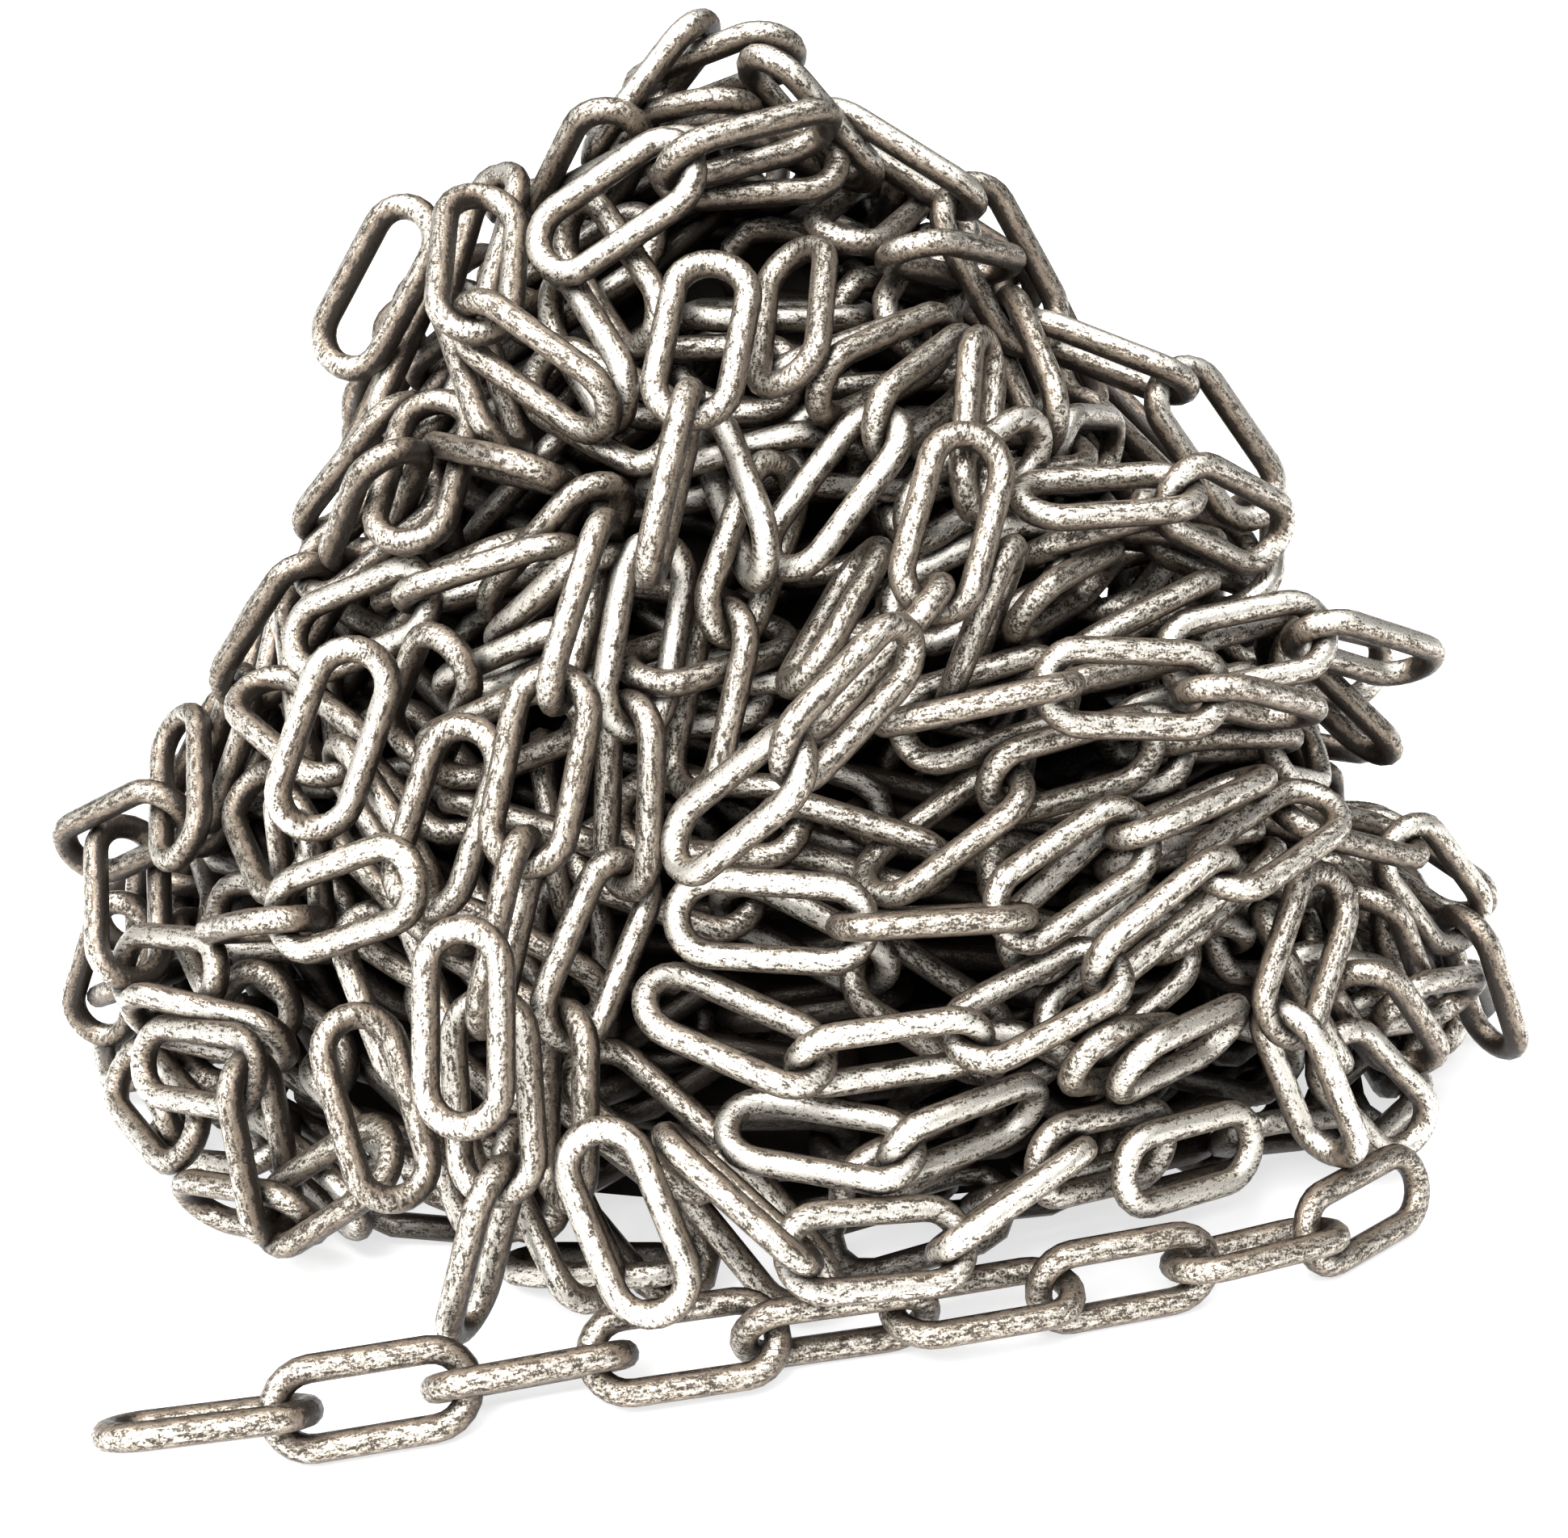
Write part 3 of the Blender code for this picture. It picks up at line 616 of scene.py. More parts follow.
def lay_solid_strands():
    """The strands just as the solids have them: each is laid as they are, then moved on to its solid."""
    tail = tail_strand()
    tail_nodes = [f"tail_link_{k + 1:02d}" for k in range(len(TAIL_TURNS))]
    bars = bar_points(tail.joints, tail.turns).reshape(-1, 3)
    laid = []
    for name, turn, layer, route in sorted(FRONT_STRANDS + back_strands(), key=lambda row: row[2]):
        drawn = np.shape(route)[1] == 2
        curve = on_heap(fill_in(route, ROUTE_STEPS), LAYER_LIFTS[layer]) if drawn else route
        strand = Strand(turn, joints_along(curve, STRAND_PITCH), STRAND_PITCH)
        for _ in range(LAY_ROUNDS):
            moved = push_out(strand, CORE_ROOM)
            near = bars[np.linalg.norm(bars - strand.joints.mean(axis=0), axis=1) < NEAR_STRAND]
            moved = max(moved, push_apart(strand, near, WIRE_ROOM) if len(near) else 0.0)
            strand.hold_pitch()
            if moved < AT_REST:
                break
        strand.joints += solid_middle(name) + ORIGIN - box_middle(strand, LINK_SIDES)
        laid.append(strand)
        bars = np.vstack([bars, bar_points(strand.joints, strand.turns).reshape(-1, 3)])
    tail.joints += solid_middle(*tail_nodes) + ORIGIN - box_middle(tail, LOOSE_SIDES)
    return tail, laid


class Links:
    """Every link of the heap: middle, long and side directions, group, and the link that follows it."""

    def __init__(self):
        self.middles = np.empty((0, 3))
        self.frames = np.empty((0, 3, 3))
        self.groups = np.empty(0, int)
        self.follows = np.empty((0, 2), int)
        self.pitches = np.empty(0)

    def add(self, joints, sides, group, pitch):
        """A run of links between joints, with the side direction of each."""
        along = unit(joints[1:] - joints[:-1])
        sides = unit(square_to(sides, along))
        first, count = len(self.middles), len(along)
        self.middles = np.vstack([self.middles, (joints[1:] + joints[:-1]) / 2])
        self.frames = np.vstack([self.frames, np.stack([along, sides, np.cross(along, sides)], axis=1)])
        self.groups = np.append(self.groups, np.full(count, group))
        self.pitches = np.append(self.pitches, np.full(count, pitch))
        pairs = np.array([(first + k, first + k + 1) for k in range(count - 1)], int).reshape(-1, 2)
        self.follows = np.vstack([self.follows, pairs])

    def keep(self, wanted):
        """Drops the links that aren't wanted, and with them what ties them to others."""
        number = np.cumsum(wanted) - 1
        self.follows = number[self.follows[wanted[self.follows].all(axis=1)]]
        self.middles, self.frames = self.middles[wanted], self.frames[wanted]
        self.groups, self.pitches = self.groups[wanted], self.pitches[wanted]

    def bars(self, path):
        """Points of every link's centre line, from (x, y) points of the oval."""
        return (
            self.middles[:, None]
            + self.frames[:, None, 0] * path[None, :, :1]
            + self.frames[:, None, 1] * path[None, :, 1:]
        )


def sides_facing(middles, along, openness):
    """Side directions that open a link's eye to the viewer at 0 degrees and turn it edge-on at 90."""
    upright = unit(np.cross(along, middles - EYE))
    angle = np.radians(openness)[:, None]
    return upright * np.cos(angle) + np.cross(along, upright) * np.sin(angle)


def seen_ends(ends, lift):
    """Ends of a link in space that look as they do in the picture, tilted as its length asks."""
    near = on_heap(ends, lift)
    rays = view_rays(*np.transpose(ends))
    reach = np.linalg.norm(near - EYE, axis=1)
    middle, lean = reach.mean(), (reach[0] - reach[1]) / 2
    cosine = rays[0] @ rays[1]
    tilt = math.sqrt(max(LINK_LENGTH**2 - 2 * middle**2 * (1 - cosine), 0) / (2 * (1 + cosine)))
    tilt = math.copysign(tilt, lean)
    tilt = min(max(tilt, lean - MOST_TILT), lean + MOST_TILT)
    return EYE + rays * np.array([[middle + tilt], [middle - tilt]])


def add_seen(links):
    """Links that can be picked out in the picture between the strands, one row each."""
    for openness, lift, *ends in SEEN_LINKS:
        ends = seen_ends(np.array(ends, float).reshape(2, 2), lift)
        middle = ends.mean(axis=0)
        along = (ends[1] - ends[0]) / np.linalg.norm(ends[1] - ends[0])
        joints = np.array([middle - along * EASED_PITCH / 2, middle + along * EASED_PITCH / 2])
        side = sides_facing(middle[None], along[None], np.array([openness]))
        links.add(joints, side, SEEN, EASED_PITCH)


def wander(rng, depth, count, runs):
    """Joints of strands that wander over the heap, at a depth inside its surface."""
    azimuth = rng.uniform(0, 360, runs)
    least, spread = START_SPREAD
    height = HEAP_HEIGHT * (1 - np.sqrt(least + spread * rng.uniform(0, 1, runs) ** PEAK_SHARE))
    place = np.array([heap_point(angle, z, -depth) for angle, z in zip(azimuth, height)])
    on_right = np.cos(np.radians(azimuth)) > 0
    stray = rng.uniform(0, 1, runs) < np.where(on_right, FLOW_STRAY, LEFT_STRAY)
    heading = np.where(stray, rng.uniform(0, 2 * math.pi, runs), rng.normal(FLOW_RISE, FLOW_SPREAD, runs))
    bend = rng.normal(0, BEND_SPREAD, runs)
    joints = [place]
    for _ in range(count):
        _, out = heap_distance(place)
        level = unit(np.cross([0, 0, 1], out))
        uphill = np.cross(out, level)
        step = level * np.cos(heading)[:, None] + uphill * np.sin(heading)[:, None]
        place = place + step * EASED_PITCH
        for _ in range(LEVEL_STEPS):
            distance, out = heap_distance(place)
            place = place - out * (distance + depth)[:, None]
        low = place[:, 2] < LINK_WIDTH / 2
        place[low, 2] = LINK_WIDTH / 2
        heading = np.where(low, -heading / 2, heading) + bend + rng.normal(0, SWERVE, runs)
        joints.append(place)
    return np.stack(joints, axis=1)


class Taken:
    """Cells of the space round the heap that lie too near to a wire for the middle of another."""

    def __init__(self, points):
        self.full = np.zeros(np.ceil(TAKEN_SIZE / TAKEN_CELL).astype(int), bool)
        reach = math.ceil(CROWDED_GAP / TAKEN_CELL)
        steps = np.meshgrid(*[np.arange(-reach, reach + 1)] * 3)
        steps = np.stack(steps, axis=-1).reshape(-1, 3)
        self.ball = steps[np.linalg.norm(steps, axis=1) * TAKEN_CELL <= CROWDED_GAP]
        self.add(points)

    def cells(self, points):
        """Which cell each point lies in."""
        cells = np.rint((points - TAKEN_LOW) / TAKEN_CELL).astype(int)
        return np.clip(cells, 0, np.array(self.full.shape) - 1)

    def add(self, points):
        """Takes the cells round each point."""
        cells = self.cells(points + self.ball[:, None] * TAKEN_CELL).reshape(-1, 3)
        self.full[tuple(cells.T)] = True

    def share(self, points):
        """What share of the points lies in cells that are taken."""
        return self.full[tuple(self.cells(points).T)].mean()


def may_lie(bars, depth, taken, hollows):
    """Whether a trial strand has room, shows above the foot line and keeps off the dark hollow."""
    if taken.share(bars) > CROWDED_SHARE:
        return False
    columns, rows = picture_places(bars)
    if (rows > np.interp(columns, *np.transpose(FOOT_LINE))).any():
        return False
    in_hollow = np.linalg.norm(bars[:, None] - hollows, axis=2) < HOLLOW_RADIUS
    return depth >= HOLLOW_RADIUS or not in_hollow.any()


def fill_layer(links, rng, depth, group, wanted, lengths):
    """Adds wandering strands at a depth until there are enough links, where there is room for them."""
    distance, _ = heap_distance(links.middles)
    levels = np.array([-layer[0] for layer in LAYERS])
    nearest = np.abs(distance[:, None] - levels).argmin(axis=1)
    made = ((links.groups >= OUTSIDE) & (levels[nearest] == -depth)).sum()
    borne = links.middles[(links.groups == SOLID_STRAND) & (distance > STANDS_OFF)]
    path = whole_oval(*FILL_POINTS)
    taken = Taken(links.bars(path).reshape(-1, 3))
    hollows = on_heap(HOLLOWS, 0.0)
    for count in range(*lengths)[::-1]:
        for joints in wander(rng, depth, count, LAYER_TRIES):
            if made >= wanted:
                return
            middles = (joints[1:] + joints[:-1]) / 2
            off_borne = np.linalg.norm(middles[:, None] - borne, axis=2).min(axis=1)
            if group == BEARING and off_borne.max() > BEARING_REACH:
                continue
            _, out = heap_distance(middles)
            turns = rng.uniform(0, 90) + 90 * np.arange(count) + rng.normal(0, TURN_SPREAD, count)
            turns = np.radians(turns)[:, None]
            across = np.cross(joints[1:] - joints[:-1], out) / EASED_PITCH
            sides = across * np.cos(turns) + out * np.sin(turns)
            trial = Links()
            trial.add(joints, sides, group, EASED_PITCH)
            bars = trial.bars(path).reshape(-1, 3)
            if may_lie(bars, depth, taken, hollows):
                links.add(joints, sides, group, EASED_PITCH)
                taken.add(bars)
                made += count


def nearest_between(start, run, other_start, other_run):
    """The nearest points of two sets of straight pieces, each from a start along a run."""
    between = start - other_start
    a = (run * run).sum(axis=1)
    b = (run * other_run).sum(axis=1)
    c = (run * between).sum(axis=1)
    e = (other_run * other_run).sum(axis=1)
    f = (other_run * between).sum(axis=1)
    cross = np.maximum(a * e - b * b, 1e-18)
    s = np.clip((b * f - c * e) / cross, 0, 1)
    t = np.clip((b * s + f) / e, 0, 1)
    s = np.clip((b * t - c) / a, 0, 1)
    return start + run * s[:, None], other_start + other_run * t[:, None]


class Easing:
    """Shifts and turns links as stiff bodies, a little at a time, each by what its contacts ask."""

    def __init__(self, links):
        self.links = links
        self.give = GIVE[links.groups]
        self.proudest = PROUDEST[links.groups]
        self.path = link_path(BEND_STEPS)

    def clear(self):
        """Forgets what the links were asked in the round before."""
        count = len(self.links.middles)
        self.shift, self.turn, self.asked = np.zeros((count, 3)), np.zeros((count, 3)), np.zeros(count)

    def swing(self, which, arms):
        """How readily a link gives at a point, as a share of a free link, for a unit direction."""
        along = self.links.frames[which, 0]
        length_way = (arms * along).sum(axis=1)[:, None] * along
        flat = arms - length_way
        return (length_way**2).sum(axis=1) / SWING_LONG**2 + (flat**2).sum(axis=1) / SWING_WIDE**2

    def ask(self, which, points, moves):
        """Asks links to move at points on them; the turn follows from the arm to the point."""
        arms = points - self.links.middles[which]
        give = self.give[which][:, None]
        share = 1 / (1 + self.swing(which, arms))[:, None]
        lever = np.cross(arms, moves) * share / SWING_LONG**2
        np.add.at(self.shift, which, moves * share * give)
        np.add.at(self.turn, which, lever * give)
        np.add.at(self.asked, which, 1.0)

    def apply(self):
        """Shifts and turns the links as they were asked, by less where many asked."""
        count = np.maximum(self.asked, 1.0)[:, None] ** CROWD_POWER
        self.links.middles += self.shift / count
        turn = self.turn / count
        angle = np.linalg.norm(turn, axis=1)
        axis = (turn / np.maximum(angle, 1e-12)[:, None])[:, None]
        angle = np.minimum(angle, MOST_TURN)[:, None, None]
        frames = self.links.frames
        frames = (
            frames * np.cos(angle)
            + np.cross(np.broadcast_to(axis, frames.shape), frames) * np.sin(angle)
            + axis * (frames * axis).sum(axis=2, keepdims=True) * (1 - np.cos(angle))
        )
        along = unit(frames[:, 0])
        side = unit(square_to(frames[:, 1], along))
        self.links.frames = np.stack([along, side, np.cross(along, side)], axis=1)

    def pairs(self):
        """Links that lie near enough to each other to touch, at least one of them free to move."""
        middles = self.links.middles
        apart = np.linalg.norm(middles[:, None] - middles[None], axis=2)
        first, second = np.nonzero(np.triu(apart < LINK_LENGTH + WIRE, 1))
        free = self.give[first] + self.give[second] > 0
        return first[free], second[free]

    def part_links(self, first, second):
        """Pushes wires apart where they are nearer than their thickness."""
        starts = self.links.bars(self.path)
        runs = np.roll(starts, -1, axis=1) - starts
        halves = np.linalg.norm(runs[0], axis=1) / 2
        centres = starts + runs / 2
        self.cuts = []
        total = (self.give[first] + self.give[second])[:, None]
        for k in range(len(self.path)):
            apart = np.linalg.norm(centres[first, k][:, None] - centres[second], axis=2)
            pair, m = np.nonzero(apart < halves[k] + halves[None, :] + WIRE)
            near, far = nearest_between(
                starts[first[pair], k], runs[first[pair], k], starts[second[pair], m], runs[second[pair], m]
            )
            gap = np.linalg.norm(near - far, axis=1)
            short = WIRE - gap
            hit = short > 0
            if not hit.any():
                continue
            pair, near, far, gap, short = pair[hit], near[hit], far[hit], gap[hit], short[hit]
            way = (near - far) / np.maximum(gap, 1e-6)[:, None] * short[:, None]
            share = self.give[first[pair]][:, None] / total[pair]
            self.ask(first[pair], near, way * np.where(share > 0, 1, 0) * EAGER)
            self.ask(second[pair], far, -way * np.where(share < 1, 1, 0) * EAGER)
            self.cuts.append(np.column_stack([short, first[pair], second[pair]]))

    def hold_chains(self):
        """Pulls each link back to the one that it hangs in."""
        first, second = self.links.follows.T
        half = self.links.pitches / 2
        end = self.links.middles[first] + self.links.frames[first, 0] * half[first, None]
        start = self.links.middles[second] - self.links.frames[second, 0] * half[second, None]
        apart = start - end
        far = np.linalg.norm(apart, axis=1)[:, None]
        apart = apart * np.maximum(1 - SLACK / np.maximum(far, 1e-9), 0)
        self.ask(first, end, apart * CHAIN_PULL)
        self.ask(second, start, -apart * CHAIN_PULL)

    def keep_in_heap(self, drawn_in):
        """Keeps links above the ground, off the shade and inside the heap, and draws them gently in."""
        bars = self.links.bars(self.path)
        distance, out = heap_distance(bars)
        shade_distance, shade_out = heap_distance(bars, SHADE_DEPTH, SHADE_BELOW_PEAK)
        rows = np.arange(len(bars))
        for short, way in (
            (WIRE / 2 - bars[..., 2], np.broadcast_to([0.0, 0.0, 1.0], bars.shape)),
            (WIRE / 2 - shade_distance, shade_out),
            (distance - self.proudest[:, None], -out),
        ):
            worst = short.argmax(axis=1)
            hit = rows[short[rows, worst] > 0]
            place = worst[hit]
            self.ask(hit, bars[hit, place], way[hit, place] * short[hit, place][:, None])
        _, out = heap_distance(self.links.middles)
        self.shift -= out * drawn_in * self.give[:, None]


def ease_apart(links):
    """Eases the links apart, with those of the solids held still, and lists what still cuts what."""
    easing = Easing(links)
    for k in range(EASE_ROUNDS):
        if k % LOOK_UP_ROUNDS == 0:
            first, second = easing.pairs()
        easing.clear()
        easing.part_links(first, second)
        easing.hold_chains()
        easing.keep_in_heap(DRAWN_IN * max(0, 1 - 2 * k / EASE_ROUNDS))
        easing.apply()
    return np.vstack(easing.cuts)


def drop_jammed(links, cuts):
    """Of each two links that still cut into each other, drops the filling one that cuts more."""
    cuts = cuts[np.argsort(-cuts[:, 0])]
    load = np.zeros(len(links.middles))
    for side in (1, 2):
        np.add.at(load, cuts[:, side].astype(int), cuts[:, 0])
    load[links.groups < OUTSIDE] = -1
    kept = np.ones(len(load), bool)
    for short, *pair in cuts:
        pair = np.array(pair, int)
        worse = pair[load[pair].argmax()]
        if short > MOST_CUT and kept[pair].all() and load[worse] >= 0:
            kept[worse] = False
    links.keep(kept)


def lift_off_ground(links):
    """Raises the links that would dip into the ground."""
    sunk = WIRE / 2 - links.bars(link_path(BEND_STEPS))[..., 2].min(axis=1)
    sunk[np.isin(links.groups, (TAIL, SOLID_STRAND))] = 0
    links.middles[:, 2] += np.maximum(sunk, 0)


def lay_links():
    """All links of the heap, each in its place."""
    tail, strands = lay_solid_strands()
    links = Links()
    _, _, sides = link_frames(tail.joints, tail.turns)
    links.add(tail.joints, sides, TAIL, LOOSE_PITCH)
    for strand in strands:
        _, _, sides = link_frames(strand.joints, strand.turns)
        links.add(strand.joints, sides, SOLID_STRAND, STRAND_PITCH)
    add_seen(links)
    rng = np.random.default_rng(FILL_SEED)
    for lengths in WANDER_LINKS:
        for depth, wanted, group in LAYERS:
            fill_layer(links, rng, depth, group, wanted, lengths)
        drop_jammed(links, ease_apart(links))
    drop_jammed(links, ease_apart(links))
    lift_off_ground(links)
    return links


class Wiring:
    """A node tree, with short calls that add a node and join or set its inputs."""

    def __init__(self, tree):
        self.nodes, self.wires = tree.nodes, tree.links

    def fill(self, node, inputs, output=None):
        """Joins or sets inputs of a node, by name or number, and gives the output that is asked for."""
        for place, value in inputs.items():
            if hasattr(value, "is_output"):
                self.wires.new(value, node.inputs[place])
            else:
                node.inputs[place].default_value = value
        return None if output is None else node.outputs[output]

    def add(self, kind, inputs, output):
        return self.fill(self.nodes.new(kind), inputs, output)

    def math(self, operation, a, b):
        node = self.nodes.new("ShaderNodeMath")
        node.operation = operation
        return self.fill(node, {0: a, 1: b}, 0)

    def span(self, value, low, high, to_low=0.0, to_high=1.0):
        """Carries a value from one span to another, smoothly and without passing its ends."""
        node = self.nodes.new("ShaderNodeMapRange")
        node.interpolation_type = "SMOOTHSTEP"
        return self.fill(node, dict(enumerate((value, low, high, to_low, to_high))), 0)


class Finish(Wiring):
    """A material, with short calls for the parts of its node tree."""

    def __init__(self, name):
        self.material = bpy.data.materials.new(name)
        self.material.use_nodes = True
        super().__init__(self.material.node_tree)
        self.shader = self.nodes["Principled BSDF"]

    def noise(self, scale, detail, roughness, warp, place=None):
        """Cloudy texture, over the piece's own space or over what is given."""
        place = place or self.nodes.new("ShaderNodeTexCoord").outputs["Object"]
        inputs = {
            "Vector": place, "Scale": scale, "Detail": detail, "Roughness": roughness, "Distortion": warp,
        }
        return self.add("ShaderNodeTexNoise", inputs, "Fac")

    def attribute(self, name, output="Fac"):
        node = self.nodes.new("ShaderNodeAttribute")
        node.attribute_name = name
        return node.outputs[output]

    def mix(self, share, a, b):
        """From colour a to colour b by a share."""
        node = self.nodes.new("ShaderNodeMix")
        node.data_type = "RGBA"
        return self.fill(node, {"Factor": share, 6: a, 7: b}, 2)


def iron_with_painted_light(name):
    """Brown iron, bare along the worn side and painted bright there as a highlight, painted dark as shade on
    the side away, with a painted dark band of pits beside the highlight, rust in pits, and painted shade
    near other links and deep in the heap.
    """
    finish = Finish(name)
    grain = finish.noise(*GRAIN_NOISE, finish.attribute("grain", "Vector"))
    rough = finish.math("MULTIPLY", finish.math("ADD", finish.noise(*PIT_NOISE), grain), 0.5)
    worn_and_lit = finish.math("ADD", finish.attribute("wear_and_painted_light"), finish.span(rough, *WEAR_AND_LIGHT_BY_ROUGHNESS))
    worn_and_lit = finish.math("ADD", worn_and_lit, finish.span(finish.attribute("tone"), *WEAR_AND_LIGHT_BY_TONE))
    # Painted shade: a dark band of pits beside the painted highlight.
    painted_dark_band = finish.math("MULTIPLY", finish.span(worn_and_lit, *PAINTED_BAND_FROM), finish.span(worn_and_lit, *PAINTED_BAND_TO))
    # Painted shade on the side away from the light, through brown and grey, to bare iron with a painted
    # highlight.
    colour = IRON_PAINTED_SHADE
    for low, high, more_worn in WEAR_AND_PAINTED_LIGHT_COLOURS:
        colour = finish.mix(finish.span(worn_and_lit, low, high), colour, more_worn)
    # Rust in pits, and painted shade: the dark band beside the highlight, near other links and deep in the
    # heap.
    for value, darkening in (
        (finish.math("ADD", rough, painted_dark_band), RUST_IN_PITS_AND_PAINTED_BAND),
        (finish.attribute("openness"), PAINTED_SHADE_IN_GAPS),
        (finish.attribute("depth"), PAINTED_SHADE_IN_DEPTH),
    ):
        colour = finish.mix(finish.span(value, *darkening), colour, RUST_AND_PAINTED_SHADE_DARK)
    pits = finish.math("SUBTRACT", 1.0, rough)
    inputs = {
        "Base Color": colour,
        "Metallic": finish.span(worn_and_lit, *METAL_BY_WEAR_AND_LIGHT),
        "Roughness": finish.span(rough, *SHEEN_BY_ROUGHNESS),
        "Normal": finish.add(
            "ShaderNodeBump", {"Strength": PIT_STRENGTH, "Distance": PIT_HEIGHT, "Height": pits}, "Normal"
        ),
    }
    finish.fill(finish.shader, inputs)
    return finish.material


def dark_inside(name):
    """Near black, a little cloudy, without a sheen."""
    finish = Finish(name)
    colour = finish.mix(finish.noise(*SHADE_NOISE), SHADE_DARK, SHADE_LESS_DARK)
    finish.fill(finish.shader, {"Base Color": colour, "Roughness": 0.9, "Specular IOR Level": 0.02})
    return finish.material


def pale_floor(name):
    """Plain pale ground that glows, so that it shows nearly white but for the heap's shadow."""
    finish = Finish(name)
    inputs = {
        "Base Color": FLOOR_COLOUR,
        "Roughness": 0.9,
        "Specular IOR Level": 0.1,
        "Emission Color": WHITE,
        "Emission Strength": FLOOR_GLOW,
    }
    finish.fill(finish.shader, inputs)
    return finish.material


def add_object(name, data):
    """A new object in the scene."""
    thing = bpy.data.objects.new(name, data)
    bpy.context.scene.collection.objects.link(thing)
    return thing


def add_surface(name, corners, faces, finish):
    """A new object with a plain surface in one finish."""
    mesh = bpy.data.meshes.new(name)
    mesh.from_pydata(corners, [], faces)
    mesh.materials.append(finish)
    return add_object(name, mesh)


def read_points(rows, field, width=3, kind=np.float32):
    """One field of every point of a mesh, as rows of an array."""
    values = np.empty(len(rows) * width, kind)
    rows.foreach_get(field, values)
    return values.reshape(-1, width)


def write_points(mesh, name, kind, field, values):
    """Gives every point of a mesh a value under a name that a node can read."""
    layer = mesh.attributes.new(name, kind, "POINT")
    layer.data.foreach_set(field, values.astype(np.int32 if kind == "INT" else np.float32).ravel())


def oval_path(name, bend_steps, weld):
    """The oval that the wire of a link follows, thicker where its ends were welded."""
    points = [(x, y, 1.0) for x, y in link_path(bend_steps)]
    if weld:
        far_side = bend_steps + 1
        points[far_side:far_side] = [(place, BEND_RADIUS, swell) for place, swell in WELD_RING]
    curve = bpy.data.curves.new(name, "CURVE")
    curve.dimensions = "3D"
    spline = curve.splines.new("POLY")
    spline.points.add(len(points) - 1)
    for point, (x, y, swell) in zip(spline.points, points):
        point.co = (x, y, 0.0, 1.0)
        point.radius = swell
    spline.use_cyclic_u = True
    return bpy.data.objects.new(name, curve)


def link_tree():
    """Node tree that sweeps wire round the oval and sets the link at every point."""
    tree = bpy.data.node_groups.new("link_at_each_place", "GeometryNodeTree")
    for name, kind in (
        ("Places", "NodeSocketGeometry"), ("Link oval", "NodeSocketObject"), ("Wire", "NodeSocketFloat"),
        ("Sides", "NodeSocketInt"), ("Finish", "NodeSocketMaterial"),
    ):
        tree.interface.new_socket(name, in_out="INPUT", socket_type=kind)
    tree.interface.new_socket("Links", in_out="OUTPUT", socket_type="NodeSocketGeometry")
    wiring = Wiring(tree)
    given = wiring.nodes.new("NodeGroupInput").outputs
    oval = wiring.add("GeometryNodeObjectInfo", {"Object": given["Link oval"]}, "Geometry")
    half = wiring.math("MULTIPLY", given["Wire"], 0.5)
    round_wire = {"Resolution": given["Sides"], "Radius": half}
    section = wiring.add("GeometryNodeCurvePrimitiveCircle", round_wire, "Curve")
    sweep = wiring.add("GeometryNodeCurveToMesh", {"Curve": oval, "Profile Curve": section}, "Mesh")
    smooth = wiring.add("GeometryNodeSetShadeSmooth", {"Geometry": sweep}, "Geometry")
    turned = wiring.nodes.new("GeometryNodeInputNamedAttribute")
    turned.data_type = "FLOAT_VECTOR"
    turned.inputs["Name"].default_value = "turned"
    euler = next(socket for socket in turned.outputs if socket.enabled)
    rotation = wiring.add("FunctionNodeEulerToRotation", {"Euler": euler}, "Rotation")
    scattered = {"Points": given["Places"], "Instance": smooth, "Rotation": rotation}
    scatter = wiring.add("GeometryNodeInstanceOnPoints", scattered, "Instances")
    real = wiring.add("GeometryNodeRealizeInstances", {"Geometry": scatter}, "Geometry")
    finished = {"Geometry": real, "Material": given["Finish"]}
    links = wiring.add("GeometryNodeSetMaterial", finished, "Geometry")
    wiring.fill(wiring.nodes.new("NodeGroupOutput"), {"Links": links})
    return tree


def make_links(name, tree, links, which, oval, sides, finish):
    """One piece of the chosen links, as a plain mesh."""
    mesh = bpy.data.meshes.new(name)
    mesh.from_pydata([tuple(place) for place in links.middles[which] - ORIGIN], [], [])
    angles = np.array([Matrix(links.frames[index].T.tolist()).to_euler() for index in which])
    write_points(mesh, "turned", "FLOAT_VECTOR", "vector", angles)
    write_points(mesh, "link_number", "INT", "value", which)
    piece = add_object(name, mesh)
    modifier = piece.modifiers.new("links", "NODES")
    modifier.node_group = tree
    values = {"Link oval": oval, "Wire": WIRE, "Sides": sides, "Finish": finish}
    for item in tree.interface.items_tree:
        if item.item_type == "SOCKET" and item.name in values:
            modifier[item.identifier] = values[item.name]
    bpy.context.view_layer.update()
    depsgraph = bpy.context.evaluated_depsgraph_get()
    piece.data = bpy.data.meshes.new_from_object(piece.evaluated_get(depsgraph))
    piece.modifiers.clear()
    return piece


# The less clear a point is, the more painted shade it gets.
def clear_share(corners, numbers, links):
    """How clear each point of the links is of the other links round it, from 0 to 1."""
    bars = links.bars(whole_oval(*SHADE_POINTS))
    share = np.ones(len(corners))
    for index in np.unique(numbers):
        own = np.nonzero(numbers == index)[0]
        apart = np.linalg.norm(links.middles - links.middles[index], axis=1)
        others = np.nonzero((apart < LINK_LENGTH + 2 * WIRE) & (apart > 1e-9))[0]
        around = bars[others].reshape(-1, 3)
        gaps = np.sqrt(((corners[own][:, None] - around[None]) ** 2).sum(axis=2)).min(axis=1)
        share[own] = np.clip((gaps - WIRE / 2) / OPEN_GAP, 0, 1)
    return share


